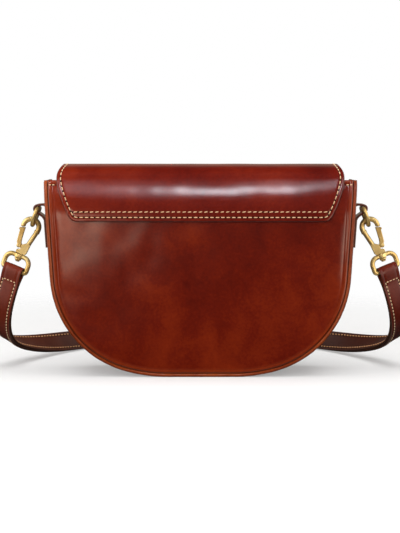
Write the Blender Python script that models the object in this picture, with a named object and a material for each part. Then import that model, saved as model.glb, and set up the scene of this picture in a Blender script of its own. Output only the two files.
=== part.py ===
"""A D-shaped leather shoulder bag with a roll-over flap, piped seams and a clip-on strap."""
import math

import bmesh
import bpy
from mathutils import Matrix, Quaternion, Vector

# Fits
GAP = 0.00035
THROUGH = 0.0040

# Bag outline, seen from the back
TOP = 0.1686
FLAT_HALF = 0.028
HEEL_RADIUS = 0.140
HEEL_TURN = math.radians(14.5)
CORNER_RADIUS = 0.0887
SIDE_LEAN = math.radians(4.17)
DEPTH = 0.068
FRONT_DROP = 0.004
PINCH_HEIGHT = 0.0336
PINCH_START = TOP - PINCH_HEIGHT
PINCH_SHARE = 0.22

# Leather
PANEL_T = 0.0022
PANEL_ROUND = 0.0007
GUSSET_T = 0.0022
PIPE_R = 0.0016
TONGUE_REACH = 0.0055
LINING_T = 0.0010
LINING_DROP = 0.0030

# Flap
FLAP_T = 0.0022
FLAP_LINING_T = 0.0010
FLAP_LINING_MARGIN = 0.0015
FLAP_BACK_LENGTH = 0.0352
FLAP_BACK_END = TOP - FLAP_BACK_LENGTH
FLAP_BACK_CORNER = 0.0042
FLAP_BACK_NARROWING = 0.0136
FLAP_BACK_POWER = 1.45
FLAP_HALF = 0.1242
FLAP_WAIST = 0.0034
FLAP_RISE = 0.0012
FLAP_CREST = 0.0139
FLAP_TOP = TOP + FLAP_CREST
FLAP_FRONT_LENGTH = 0.1281
FLAP_FRONT_END = TOP - FLAP_FRONT_LENGTH
ARCH_POWER = 2.2
FRONT_POWER = 3.2
FRONT_LAST_SHARE = 0.988

# Magnetic snap
MAGNET_Z = 0.066
MAGNET_R = 0.0070
SOCKET_T = 0.0015
STUD_T = 0.0011
STUD_R = 0.0022
STUD_REACH = 0.0012
WASHER_R = 0.0055
WASHER_T = 0.00065
NECK_PLAY = 0.0004
RECESS_PLAY = 0.0005

# Tab and ring at each end
HANG = math.radians(20.0)
TAB_DROP = 0.0206
TAB_TOP = TOP - TAB_DROP
TAB_LENGTH = 0.0385
TAB_W = 0.0188
TAB_T = 0.0018
TAB_BEND_R = 0.0030
TAB_WRAP_END = math.radians(-50.0)
RING_OUT = 0.0090
RING_WIRE_R = 0.00175
RING_HALF = 0.01175
RING_SIDE = 0.0040
RING_CORNER = 0.0030

# Trigger hook: its base is placed from the ring, the rest across (towards the bag) and up from there
HOOK_OUT = 0.01632
HOOK_DROP = 0.03936
HOOK_GRID = 0.001
BOW_ACROSS = 0.0013
BOW_UP = 0.0249
BOW_R = 0.0069
BOW_TURN = math.radians(18.0)
HOOK_WIRE_R = 0.0023
HOOK_ARM_R = 0.0021
HOOK_NOSE_R = 0.0021
NOSE_TAPER_SHARE = 0.4
SEAM_R = 0.0026
SEAM_T = 0.0013
SEAM_STEP = 0.0003
ARM_FOOT_ACROSS = 0.0034
ARM_FOOT_UP = 0.0012
ARM_KNEE_ACROSS = 0.0043
ARM_KNEE_UP = 0.0086
BASE_HALF = 0.0029
BASE_ROUND = 0.0005
TONGUE_HALF = 0.0011
PIVOT_ACROSS = 0.0032
PIVOT_UP = 0.0061
GATE_HALF = 0.0026
GATE_WALL = 0.0011
GATE_EYE_R = 0.0020
GATE_EYE_FROM = math.radians(20.0)
GATE_EYE_TO = math.radians(-210.0)
GATE_ROUND = 0.0003
PIN_R = 0.0009
PIN_HEAD_R = 0.0015
PIN_HEAD_T = 0.0006
LEAF_HALF = 0.0009
LEAF_T = 0.00035

# Swivel post and eye
POST_R = 0.00135
POST_HEAD_R = 0.0030
POST_HEAD_T = 0.0015
POST_TIP_R = 0.0021
POST_TIP_T = 0.0017
DOME_SHARE = 0.6
BOSS_DROP = 0.0008
BOSS_LENGTH = 0.0036
BOSS_R = 0.0042
BOSS_EDGE = 0.0005
BOSS_PLAY = 0.0003
EYE_SWIVEL = math.radians(18.0)
EYE_HALF = 0.0117
EYE_HEIGHT = 0.0129
EYE_SHOULDER_R = 0.0062
EYE_CORNER = 0.0022
EYE_WIRE_R = 0.0021

# Strap
STRAP_W = 0.0185
STRAP_T = 0.0018
STRAP_EDGE = 0.0004
STRAP_TAIL = 0.038
STRAP_FLARE = 0.014
STRAP_HALF_LENGTH = 0.3355
STRAP_SWEEP = math.radians(60.6)
STRAP_TURN = math.radians(26.5)
STRAP_TURN_AT_SHARE = 0.17
STRAP_TURN_SPAN_SHARE = 0.20
STRAP_TWIST = math.radians(76.3)
STRAP_TWIST_AT_SHARE = 0.574
STRAP_TWIST_SPAN_SHARE = 0.428
STRAP_LIFT = math.radians(70.1)
STRAP_LIFT_AT_SHARE = 0.831
STRAP_LIFT_SPAN_SHARE = 0.180
STRAP_CLOSE_POWER = 3

# Fineness
SHARP = math.radians(40.0)
QUARTER = math.pi / 2.0
EASE_STEPS = 3
BEND_STEPS = 4
SHOULDER_STEPS = 6
BOW_STEPS = 14
GATE_EYE_STEPS = 9
HEEL_STEPS = 3
CORNER_STEPS = 12
SIDE_STEPS = 2
MOUTH_STEPS = 6
PIPE_SIDES = 9
WIRE_SIDES = 10
TURNED_SIDES = 16
ARCH_STEPS = 7
FRONT_STEPS = 12
ROUTE_STEPS = 240
ROUTE_STRIDE = 6
WRAP_STEPS = 7

# Colours: red, green, blue, roughness, metallic
LEATHER_BODY = ("leather_body", 0.16, 0.022, 0.008, 0.32, 0.0)
LEATHER_RIM = ("leather_rim", 0.36, 0.066, 0.020, 0.38, 0.0)
LEATHER_FLAP = ("leather_flap", 0.15, 0.020, 0.008, 0.28, 0.0)
LEATHER_STRAP = ("leather_strap", 0.10, 0.014, 0.008, 0.42, 0.0)
SUEDE = ("suede_lining", 0.32, 0.18, 0.10, 0.90, 0.0)
BRASS = ("antique_brass", 0.56, 0.36, 0.14, 0.30, 1.0)
STEEL = ("spring_steel", 0.45, 0.44, 0.42, 0.35, 1.0)


def clear_scene():
    for item in list(bpy.data.objects):
        bpy.data.objects.remove(item, do_unlink=True)


def material(look):
    name, red, green, blue, roughness, metallic = look
    found = bpy.data.materials.get(name)
    if found:
        return found
    made = bpy.data.materials.new(name)
    made.use_nodes = True
    shader = made.node_tree.nodes["Principled BSDF"]
    shader.inputs["Base Color"].default_value = (red, green, blue, 1.0)
    shader.inputs["Roughness"].default_value = roughness
    shader.inputs["Metallic"].default_value = metallic
    return made


def finish_mesh(shape, name, look, smooth):
    mesh = bpy.data.meshes.new(name)
    bmesh.ops.recalc_face_normals(shape, faces=shape.faces)
    shape.to_mesh(mesh)
    shape.free()
    item = bpy.data.objects.new(name, mesh)
    bpy.context.scene.collection.objects.link(item)
    mesh.materials.append(material((name + "_" + look[0],) + look[1:]))
    for face in mesh.polygons:
        face.use_smooth = smooth
    if smooth:
        mesh.set_sharp_from_angle(angle=SHARP)
    return item


def loft(name, rings, look, closed=False, smooth=True):
    """A skin over rings of points that all have the same count."""
    shape = bmesh.new()
    rows = [[shape.verts.new(point) for point in ring] for ring in rings]
    count = len(rows[0])
    pairs = list(zip(rows, rows[1:]))
    if closed:
        pairs.append((rows[-1], rows[0]))
    for low, high in pairs:
        for k in range(count):
            n = (k + 1) % count
            shape.faces.new((low[k], low[n], high[n], high[k]))
    if not closed:
        shape.faces.new(rows[0])
        shape.faces.new(rows[-1])
    return finish_mesh(shape, name, look, smooth)


def turned(name, profile, centre, axis, look):
    """A solid of revolution: profile is (distance from the axis, distance along it)."""
    side = axis.orthogonal().normalized()
    other = axis.cross(side)
    rings = []
    for radius, along in profile:
        ring = []
        for k in range(TURNED_SIDES):
            angle = math.tau * k / TURNED_SIDES
            spoke = side * math.cos(angle) + other * math.sin(angle)
            ring.append(centre + axis * along + spoke * radius)
        rings.append(ring)
    return loft(name, rings, look)


def combine(item, tool, operation):
    """One body from two, and the tool goes."""
    step = item.modifiers.new("joined", "BOOLEAN")
    step.operation = operation
    step.solver = "EXACT"
    step.object = tool
    apply_modifiers(item)
    bpy.data.objects.remove(tool, do_unlink=True)
    return item


def apply_modifiers(item):
    bpy.context.view_layer.update()
    graph = bpy.context.evaluated_depsgraph_get()
    mesh = bpy.data.meshes.new_from_object(item.evaluated_get(graph))
    item.modifiers.clear()
    item.data = mesh
    return item


def rounded(item, width, segments=2):
    step = item.modifiers.new("edges", "BEVEL")
    step.width = width
    step.segments = segments
    step.limit_method = "ANGLE"
    step.angle_limit = SHARP
    return apply_modifiers(item)


def hang_from(item, point):
    """Puts the origin on the joint axis without moving the shape."""
    item.data.transform(Matrix.Translation(-point))
    item.location = point
    return item


def bell(place, middle, span):
    reach = (place - middle) / span
    if abs(reach) >= 1.0:
        return 0.0
    return (1.0 + math.cos(math.pi * reach)) / (span + span)


def ease(share):
    share = min(max(share, 0.0), 1.0)
    return share * share * (3.0 - 2.0 * share)


# Bag body


def pinch(z):
    """How much of the depth is left at a height: the mouth is drawn together."""
    if z <= PINCH_START:
        return 1.0
    rise = (z - PINCH_START) / (TOP - PINCH_START)
    return 1.0 - PINCH_SHARE * rise * rise


def bag_point(x, y, z):
    return Vector((x, y * pinch(z), z))


def half_outline(inset, top):
    """The right half of the D from the flat bottom up, moved in by inset."""
    points = []
    radius = HEEL_RADIUS - inset
    for k in range(HEEL_STEPS):
        turn = HEEL_TURN * k / HEEL_STEPS
        points.append((FLAT_HALF + radius * math.sin(turn), HEEL_RADIUS - radius * math.cos(turn)))
    shift = HEEL_RADIUS - CORNER_RADIUS
    middle_x = FLAT_HALF + shift * math.sin(HEEL_TURN)
    middle_z = HEEL_RADIUS - shift * math.cos(HEEL_TURN)
    radius = CORNER_RADIUS - inset
    last = QUARTER - SIDE_LEAN
    for k in range(CORNER_STEPS + 1):
        turn = HEEL_TURN + (last - HEEL_TURN) * k / CORNER_STEPS
        points.append((middle_x + radius * math.sin(turn), middle_z - radius * math.cos(turn)))
    start_x, start_z = points[-1]
    heights = [start_z + (PINCH_START - start_z) * k / SIDE_STEPS for k in range(1, SIDE_STEPS + 1)]
    heights += [PINCH_START + (top - PINCH_START) * k / MOUTH_STEPS for k in range(1, MOUTH_STEPS + 1)]
    points += [(start_x + (z - start_z) * math.tan(SIDE_LEAN), z) for z in heights]
    return points


def plate(name, inset, low_y, high_y, top, look, bottom=0.0):
    """A D-shaped plate between two depths; bottom leaves rows below it out."""
    rings = []
    for x, z in half_outline(inset, top):
        if z < bottom:
            continue
        corners = ((-x, low_y), (x, low_y), (x, high_y), (-x, high_y))
        rings.append([bag_point(px, py, z) for px, py in corners])
    return loft(name, rings, look)


def rim(name, profile, top, look):
    """A strip all round the D from one end of the mouth to the other."""
    lines = [(half_outline(inset, top), y) for inset, y in profile]
    count = len(lines[0][0])
    rings = []
    for k in reversed(range(count)):
        rings.append([bag_point(-line[k][0], y, line[k][1]) for line, y in lines])
    for k in range(count):
        rings.append([bag_point(line[k][0], y, line[k][1]) for line, y in lines])
    return loft(name, rings, look)


def piping_profile(side):
    middle = DEPTH / 2.0 - PIPE_R
    tongue_outer = DEPTH / 2.0 - PANEL_T - GAP
    tongue_inner = middle - PIPE_R
    rise = math.asin((middle - tongue_outer) / PIPE_R)
    span = math.tau - QUARTER + rise
    points = []
    for k in range(PIPE_SIDES + 1):
        angle = QUARTER + span * k / PIPE_SIDES
        points.append((PIPE_R + PIPE_R * math.cos(angle), side * (middle - PIPE_R * math.sin(angle))))
    points.append((TONGUE_REACH, side * tongue_outer))
    points.append((TONGUE_REACH, side * tongue_inner))
    return points


def build_body():
    half = DEPTH / 2.0
    panel_inset = PIPE_R + PIPE_R + GAP
    tongue_inner = half - PIPE_R - PIPE_R
    front_top = TOP - FRONT_DROP
    rounded(plate("back_panel", panel_inset, -half, -half + PANEL_T, TOP, LEATHER_BODY), PANEL_ROUND)
    front = plate("front_panel", panel_inset, half - PANEL_T, half, front_top, LEATHER_BODY)
    rounded(front, PANEL_ROUND)
    neck_hole = ((STUD_R + NECK_PLAY, -THROUGH), (STUD_R + NECK_PLAY, THROUGH))
    place = Vector((0.0, half, MAGNET_Z))
    combine(front, turned("hole", neck_hole, place, Vector((0.0, 1.0, 0.0)), LEATHER_BODY), "DIFFERENCE")
    edge = tongue_inner - GAP
    strip = ((0.0, -edge), (0.0, edge), (GUSSET_T, edge), (GUSSET_T, -edge))
    rim("gusset", strip, TOP, LEATHER_RIM)
    rim("back_piping", piping_profile(-1.0), TOP, LEATHER_RIM)
    rim("front_piping", piping_profile(1.0), front_top, LEATHER_RIM)
    inset = GUSSET_T + GAP
    top = front_top - LINING_DROP
    lining = plate("lining", inset, -edge, edge, top, SUEDE)
    inner = edge - LINING_T
    hollow = plate("hollow", inset + LINING_T, -inner, inner, top + LINING_DROP, SUEDE)
    combine(lining, hollow, "DIFFERENCE")


# Flap


def flap_lifts():
    """How far the leather's middle lies off the faces of the back and of the front panel."""
    back = GAP + FLAP_T / 2.0
    stack = GAP + SOCKET_T + GAP + STUD_T + GAP
    return back, stack + FLAP_LINING_T + GAP + FLAP_T / 2.0


def arch_point(angle):
    """Depth, height, half width and lift over the mouth, from back (0) to front (half a turn)."""
    back, front = flap_lifts()
    base = TOP + FLAP_RISE
    lift = back + (front - back) * angle / math.pi
    rise = FLAP_TOP - FLAP_T / 2.0 - (back + front) / 2.0 - base
    turn = math.cos(angle)
    across = math.copysign(abs(turn) ** (2.0 / ARCH_POWER), turn)
    height = abs(math.sin(angle)) ** (2.0 / ARCH_POWER)
    half = FLAP_HALF - FLAP_WAIST * math.sin(angle) ** 2
    return -DEPTH / 2.0 * across, base + rise * height, half, lift


def flap_stations():
    """Four lists of (depth, height, half width, lift), one for each part of the flap."""
    back, front = flap_lifts()
    base = TOP + FLAP_RISE
    band = []
    corner = FLAP_BACK_CORNER
    turns = [QUARTER * k / EASE_STEPS for k in range(EASE_STEPS + 1)]
    heights = [FLAP_BACK_END + corner * (1.0 - math.cos(turn)) for turn in turns]
    rest = base - GAP - heights[-1]
    heights += [heights[-1] + rest * k / MOUTH_STEPS for k in range(1, MOUTH_STEPS + 1)]
    for z in heights:
        share = (base - z) / (base - FLAP_BACK_END)
        half = FLAP_HALF - FLAP_BACK_NARROWING * share ** FLAP_BACK_POWER
        below = max(FLAP_BACK_END + corner - z, 0.0)
        half -= corner - math.sqrt(max(corner * corner - below * below, 0.0))
        band.append((-DEPTH / 2.0, z, half, back))
    rear = [arch_point(QUARTER * k / ARCH_STEPS) for k in range(ARCH_STEPS)]
    _, apex, waist, lift = arch_point(QUARTER)
    rear.append((-GAP, apex, waist, lift))
    fore = [(GAP, apex, waist, lift)]
    fore += [arch_point(QUARTER + QUARTER * k / ARCH_STEPS) for k in range(1, ARCH_STEPS + 1)]
    drop = base - GAP - FLAP_FRONT_END
    hang = []
    for k in range(FRONT_STEPS + 1):
        share = FRONT_LAST_SHARE * math.sin(QUARTER * k / FRONT_STEPS)
        half = FLAP_HALF * (1.0 - share ** FRONT_POWER) ** (1.0 / FRONT_POWER)
        hang.append((DEPTH / 2.0, base - GAP - drop * share, half, front))
    return band, rear, fore, hang


def outward(stations):
    """Unit normals of a run of stations, out of the bag, in the plane of depth and height."""
    faces = [bag_point(0.0, y, z) for y, z, _, _ in stations]
    points, normals = [], []
    for k in range(len(faces)):
        ahead = faces[min(k + 1, len(faces) - 1)] - faces[max(k - 1, 0)]
        normals.append(Vector((0.0, -ahead.z, ahead.y)).normalized())
        points.append(faces[k] + normals[k] * stations[k][3])
    return points, normals


def flap_piece(name, stations, offset, thick, margin, look):
    points, normals = outward(stations)
    rings = []
    for point, normal, (_, _, half, _) in zip(points, normals, stations):
        wide = Vector((half - margin, 0.0, 0.0))
        out = point + normal * (offset + thick / 2.0)
        into = point + normal * (offset - thick / 2.0)
        rings.append([out - wide, out + wide, into + wide, into - wide])
    return loft(name, rings, look)


def hinge_point(stations, which):
    points, normals = outward(stations)
    return points[which] + normals[which] * (FLAP_T / 2.0)


def build_flap():
    band, rear, fore, hang = flap_stations()
    under = -(FLAP_T + FLAP_LINING_T) / 2.0 - GAP
    flap_piece("flap_back_band", band, 0.0, FLAP_T, 0.0, LEATHER_FLAP)
    hinges = (hinge_point(rear, 0), hinge_point(fore, 0), hinge_point(hang, 0))
    runs = (("flap_bridge_back", rear), ("flap_bridge_front", fore), ("flap_front", hang))
    pieces = {}
    for (name, run), hinge in zip(runs, hinges):
        pieces[name] = (flap_piece(name, run, 0.0, FLAP_T, 0.0, LEATHER_FLAP), hinge)
        lined = name + "_lining"
        inner = flap_piece(lined, run, under, FLAP_LINING_T, FLAP_LINING_MARGIN, SUEDE)
        pieces[lined] = (inner, hinge)
    build_magnet(pieces, hinges[-1])
    for item, hinge in pieces.values():
        hang_from(item, hinge)


def build_magnet(pieces, hinge):
    """The two halves of the snap, turned about the depth axis, and the holes they need."""
    along = Vector((0.0, 1.0, 0.0))
    face = Vector((0.0, DEPTH / 2.0, MAGNET_Z))
    top = GAP + SOCKET_T
    under_washer = -(PANEL_T + GAP + WASHER_T)
    mouth = STUD_R + RECESS_PLAY
    socket = (
        (STUD_R, under_washer),
        (STUD_R, GAP),
        (MAGNET_R, GAP),
        (MAGNET_R, top),
        (mouth, top),
        (mouth, top - STUD_REACH),
    )
    turned("magnet_socket", socket, face, along, BRASS)
    hole = STUD_R + NECK_PLAY
    washer = ((hole, -PANEL_T - GAP - WASHER_T), (WASHER_R, -PANEL_T - GAP - WASHER_T))
    washer += ((WASHER_R, -PANEL_T - GAP), (hole, -PANEL_T - GAP))
    ring_washer("magnet_socket_washer", washer, face, along)
    plate_low = top + GAP
    plate_high = plate_low + STUD_T
    leather = plate_high + GAP + FLAP_LINING_T + GAP
    stud = (
        (STUD_R, plate_low - STUD_REACH + GAP),
        (STUD_R, plate_low),
        (MAGNET_R, plate_low),
        (MAGNET_R, plate_high),
        (STUD_R, plate_high),
        (STUD_R, leather + WASHER_T),
    )
    pieces["magnet_stud"] = (turned("magnet_stud", stud, face, along, BRASS), hinge)
    washer = ((hole, leather), (WASHER_R, leather), (WASHER_R, leather + WASHER_T), (hole, leather + WASHER_T))
    pieces["magnet_stud_washer"] = (ring_washer("magnet_stud_washer", washer, face, along), hinge)
    recess = ((WASHER_R + GAP, -THROUGH), (WASHER_R + GAP, leather + WASHER_T + GAP))
    recess = turned("recess", recess, face, along, SUEDE)
    combine(pieces["flap_front"][0], recess, "DIFFERENCE")
    opening = ((hole, -THROUGH), (hole, leather))
    opening = turned("opening", opening, face, along, SUEDE)
    combine(pieces["flap_front_lining"][0], opening, "DIFFERENCE")


def ring_washer(name, profile, centre, axis):
    side = axis.orthogonal().normalized()
    other = axis.cross(side)
    rings = []
    for k in range(TURNED_SIDES):
        angle = math.tau * k / TURNED_SIDES
        spoke = side * math.cos(angle) + other * math.sin(angle)
        rings.append([centre + axis * along + spoke * radius for radius, along in profile])
    return loft(name, rings, STEEL, closed=True)


# Tabs and rings


def side_frame():
    """Origin on the gusset at the top of the tab, outward and upward directions."""
    last_x, last_z = half_outline(0.0, TOP)[-1]
    x = last_x + (TAB_TOP - last_z) * math.tan(SIDE_LEAN)
    out = Vector((math.cos(SIDE_LEAN), 0.0, -math.sin(SIDE_LEAN)))
    up = Vector((math.sin(SIDE_LEAN), 0.0, math.cos(SIDE_LEAN)))
    return Vector((x, 0.0, TAB_TOP)), out, up


def ring_bar():
    origin, out, up = side_frame()
    drop = TAB_T + GAP + RING_WIRE_R
    return origin + out * RING_OUT - up * drop


def arc(centre, radius, start, end, steps):
    points = []
    for k in range(steps + 1):
        angle = start + (end - start) * k / steps
        points.append((centre[0] + radius * math.cos(angle), centre[1] + radius * math.sin(angle)))
    return points


def tab_path():
    """Middle of the folded strip, as (out from the gusset, up from the tab's top)."""
    inner = GAP + TAB_T / 2.0
    outer = inner + TAB_T + GAP
    wrap = RING_WIRE_R + GAP + TAB_T / 2.0
    drop = TAB_T + GAP + RING_WIRE_R
    bend_up = (inner + TAB_BEND_R, -TAB_T / 2.0 - TAB_BEND_R)
    path = [(inner, -TAB_LENGTH), (inner, -TAB_LENGTH / 2.0)]
    path += arc(bend_up, TAB_BEND_R, math.pi, QUARTER, BEND_STEPS)
    path += arc((RING_OUT, -drop), wrap, QUARTER, TAB_WRAP_END, WRAP_STEPS)
    last_out, last_up = path[-1]
    slope = math.tan(QUARTER + TAB_WRAP_END)
    meet = last_up - (last_out - outer) * slope
    steps = ((outer + TAB_T, 0.0), (outer + TAB_T / 4.0, -TAB_T / 2.0), (outer, -TAB_T))
    for out, extra in steps:
        path.append((out, last_up - (last_out - out) * slope + extra))
    path.append((outer, (meet - TAB_LENGTH) / 2.0))
    path.append((outer, -TAB_LENGTH))
    return path


def ribbon_rings(points, normals, across, width, thick, edge):
    """Rings of a flat band with eased edges; across may be one vector or one for each point."""
    rings = []
    for k, (point, normal) in enumerate(zip(points, normals)):
        side = across[k] if isinstance(across, list) else across
        wide, high = width / 2.0, thick / 2.0
        corners = (
            (-wide, -high + edge), (-wide, high - edge), (-wide + edge, high), (wide - edge, high),
            (wide, high - edge), (wide, -high + edge), (wide - edge, -high), (-wide + edge, -high),
        )
        rings.append([point + side * a + normal * b for a, b in corners])
    return rings


def path_normals(points, across):
    normals = []
    for k in range(len(points)):
        back = (points[k] - points[max(k - 1, 0)]).normalized()
        ahead = (points[min(k + 1, len(points) - 1)] - points[k]).normalized()
        normals.append((back + ahead).normalized().cross(across).normalized())
    return normals


def wire(name, points, radii, plane_normal, look, closed, depth_share=1.0):
    """A round bar along points that lie in one plane."""
    rings = []
    count = len(points)
    for k, point in enumerate(points):
        before = points[k - 1] if closed or k else point
        after = points[(k + 1) % count] if closed or k + 1 < count else point
        along = (after - before).normalized()
        side = along.cross(plane_normal)
        radius = radii[k] if isinstance(radii, list) else radii
        ring = []
        for n in range(WIRE_SIDES):
            angle = math.tau * n / WIRE_SIDES
            across = side * (radius * math.cos(angle))
            ring.append(point + across + plane_normal * (radius * depth_share * math.sin(angle)))
        rings.append(ring)
    return loft(name, rings, look, closed=closed)


def mirrored(item, side):
    """The left pieces are the right ones with x turned round."""
    if side < 0.0:
        flip = Matrix.Diagonal((-1.0, 1.0, 1.0, 1.0))
        item.data.transform(flip)
        item.data.flip_normals()
    return item


def on_side(point, side):
    return Vector((side * point.x, point.y, point.z))


def build_tab_and_ring(side, word):
    origin, out, up = side_frame()
    path = [origin + out * a + up * b for a, b in tab_path()]
    y_axis = Vector((0.0, 1.0, 0.0))
    rings = ribbon_rings(path, path_normals(path, y_axis), y_axis, TAB_W, TAB_T, STRAP_EDGE)
    mirrored(loft("ring_tab_" + word, rings, LEATHER_RIM), side)
    bar = ring_bar()
    down = Vector((math.sin(HANG), 0.0, -math.cos(HANG)))
    normal = down.cross(y_axis)
    flat = arc((RING_HALF - RING_CORNER, RING_CORNER), RING_CORNER, -QUARTER, 0.0, EASE_STEPS)
    flat += arc((0.0, RING_SIDE), RING_HALF, 0.0, math.pi, BOW_STEPS)
    flat += arc((RING_CORNER - RING_HALF, RING_CORNER), RING_CORNER, math.pi, math.pi + QUARTER, EASE_STEPS)
    path = [bar + y_axis * a + down * b for a, b in flat]
    ring = wire("d_ring_" + word, path, RING_WIRE_R, normal, BRASS, True)
    hang_from(mirrored(ring, side), on_side(bar, side))


# Trigger hook with its swivel eye


def hook_axes():
    up = Vector((-math.sin(HANG), 0.0, math.cos(HANG)))
    across = Vector((-math.cos(HANG), 0.0, -math.sin(HANG)))
    return across, up


def hook_point(pair, y=0.0):
    across, up = hook_axes()
    base = ring_bar() + Vector((HOOK_OUT, y, -HOOK_DROP))
    return base + across * pair[0] + up * pair[1]


def slab(name, outline, half, look, round_by=0.0):
    """A flat piece of the hook, its outline in (across, up), centred on the hook's plane."""
    rings = [[hook_point(pair, y) for pair in outline] for y in (-half, half)]
    item = loft(name, rings, look, smooth=False)
    if round_by:
        rounded(item, round_by, 1)
    return item


def arm_path():
    """The middle and the radii of arm, seam ring and bow, from the foot to the nose."""
    bow = arc(BOW_CENTRE, BOW_R, -BOW_TURN, math.pi + BOW_TURN, BOW_STEPS)
    length = math.dist(ARM_KNEE, bow[0])
    path = [ARM_FOOT, ARM_KNEE]
    radii = [HOOK_ARM_R, HOOK_ARM_R]
    for left, radius in ((SEAM_T + SEAM_STEP, HOOK_ARM_R), (SEAM_T, SEAM_R), (SEAM_STEP, SEAM_R)):
        share = left / length
        path.append([top + (knee - top) * share for top, knee in zip(bow[0], ARM_KNEE)])
        radii.append(radius)
    for k in range(BOW_STEPS + 1):
        share = ease((k / BOW_STEPS - 1.0) / NOSE_TAPER_SHARE + 1.0)
        radii.append(HOOK_WIRE_R + (HOOK_NOSE_R - HOOK_WIRE_R) * share)
    return path + bow, radii


def on_grid(pairs):
    return [(a * HOOK_GRID, b * HOOK_GRID) for a, b in pairs]


ARM_FOOT = (ARM_FOOT_ACROSS, ARM_FOOT_UP)
ARM_KNEE = (ARM_KNEE_ACROSS, ARM_KNEE_UP)
BOW_CENTRE = (BOW_ACROSS, BOW_UP)
PIVOT = (-PIVOT_ACROSS, PIVOT_UP)
BOSS_TOP = -BOSS_DROP
BASE_OUTLINE = on_grid((
    (-3.2, -0.4), (4.6, -0.4), (5.5, 0.5), (6.4, 8.9), (6.3, 9.7), (2.9, 9.9), (1.4, 8.9), (-0.9, 7.4),
    (-0.9, 3.1), (-3.9, 2.7), (-3.9, 0.3),
))
TONGUE_OUTLINE = on_grid((
    (-0.5, 4.4), (-0.5, 7.8), (-3.2, 7.8), (-4.5, 7.1), (-4.9, 6.1), (-4.5, 5.1), (-3.2, 4.4),
))
GATE_BACK = on_grid((
    (-6.0, 9.0), (-6.6, 15.0), (-6.9, 19.4), (-7.9, 20.0), (-8.1, 21.0), (-7.4, 21.6),
    (-3.05, 23.0), (-3.0, 19.0), (-2.6, 12.0), (-2.2, 9.5), (-1.7, 8.0),
))
LEAF_LINE = on_grid(((-1.2, 8.4), (-3.2, 8.4), (-4.3, 10.0), (-4.9, 13.0), (-5.1, 15.5)))


def gate_outline():
    eye = arc(PIVOT, GATE_EYE_R, GATE_EYE_FROM, GATE_EYE_TO, GATE_EYE_STEPS)
    return GATE_BACK + eye


def slot_outline():
    """The hollow of the gate, open towards the inside of the hook and at the foot."""
    wall = GATE_WALL
    reach = THROUGH + GATE_EYE_R
    sill = GATE_BACK[0][1] + GAP
    return [
        (PIVOT[0] - reach, PIVOT[1] - reach),
        (PIVOT[0] - reach, sill),
        (GATE_BACK[0][0] + wall, sill),
        (GATE_BACK[1][0] + wall, GATE_BACK[1][1]),
        (GATE_BACK[2][0] + wall, GATE_BACK[2][1]),
        (PIVOT[0] + reach, GATE_BACK[2][1]),
        (PIVOT[0] + reach, PIVOT[1] - reach),
    ]


def build_hook(side, word):
    y_axis = Vector((0.0, 1.0, 0.0))
    _, up = hook_axes()
    path, radii = arm_path()
    points = [hook_point(pair) for pair in path]
    body = wire("hook_body_" + word, points, radii, y_axis, BRASS, False)
    combine(body, slab("base", BASE_OUTLINE, BASE_HALF, BRASS, BASE_ROUND), "UNION")
    combine(body, slab("tongue", TONGUE_OUTLINE, TONGUE_HALF, BRASS), "UNION")
    head_top = BOSS_TOP - BOSS_LENGTH - GAP
    head_foot = head_top - POST_HEAD_T
    tip = head_foot - POST_TIP_T
    post = (
        (POST_R, ARM_FOOT[1]),
        (POST_R, head_top),
        (POST_HEAD_R, head_top),
        (POST_HEAD_R, head_foot),
        (POST_TIP_R, head_foot),
        (POST_TIP_R, (head_foot + tip) / 2.0),
        (POST_TIP_R * DOME_SHARE, tip),
    )
    combine(body, turned("post", post, hook_point((0.0, 0.0)), up, BRASS), "UNION")
    hole_r = PIN_R + GAP
    bore = ((hole_r, -THROUGH), (hole_r, THROUGH))
    pivot = hook_point(PIVOT)
    combine(body, turned("bore", bore, pivot, y_axis, BRASS), "DIFFERENCE")
    hang_from(mirrored(body, side), on_side(hook_point((0.0, 0.0)), side))

    gate = slab("hook_gate_" + word, gate_outline(), GATE_HALF, BRASS, GATE_ROUND)
    combine(gate, slab("slot", slot_outline(), TONGUE_HALF + GAP, BRASS), "DIFFERENCE")
    combine(gate, turned("bore", bore, pivot, y_axis, BRASS), "DIFFERENCE")
    hang_from(mirrored(gate, side), on_side(pivot, side))

    reach = GATE_HALF + GAP
    end = reach + PIN_HEAD_T
    pin = (
        (PIN_HEAD_R * DOME_SHARE, -end), (PIN_HEAD_R, -reach - PIN_HEAD_T / 2.0), (PIN_HEAD_R, -reach),
        (PIN_R, -reach), (PIN_R, reach),
        (PIN_HEAD_R, reach), (PIN_HEAD_R, reach + PIN_HEAD_T / 2.0), (PIN_HEAD_R * DOME_SHARE, end),
    )
    pin = turned("gate_pin_" + word, pin, pivot, y_axis, BRASS)
    hang_from(mirrored(pin, side), on_side(pivot, side))

    line = [hook_point(pair) for pair in LEAF_LINE]
    edge = LEAF_T / 4.0
    leaf = ribbon_rings(line, path_normals(line, y_axis), y_axis, LEAF_HALF + LEAF_HALF, LEAF_T, edge)
    leaf = loft("gate_spring_" + word, leaf, STEEL)
    hang_from(mirrored(leaf, side), on_side(line[0], side))

    build_eye(side, word)


def eye_bar():
    """Height of the eye's straight bar in the hook's frame."""
    return BOSS_TOP - BOSS_LENGTH / 2.0 - EYE_HEIGHT


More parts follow.
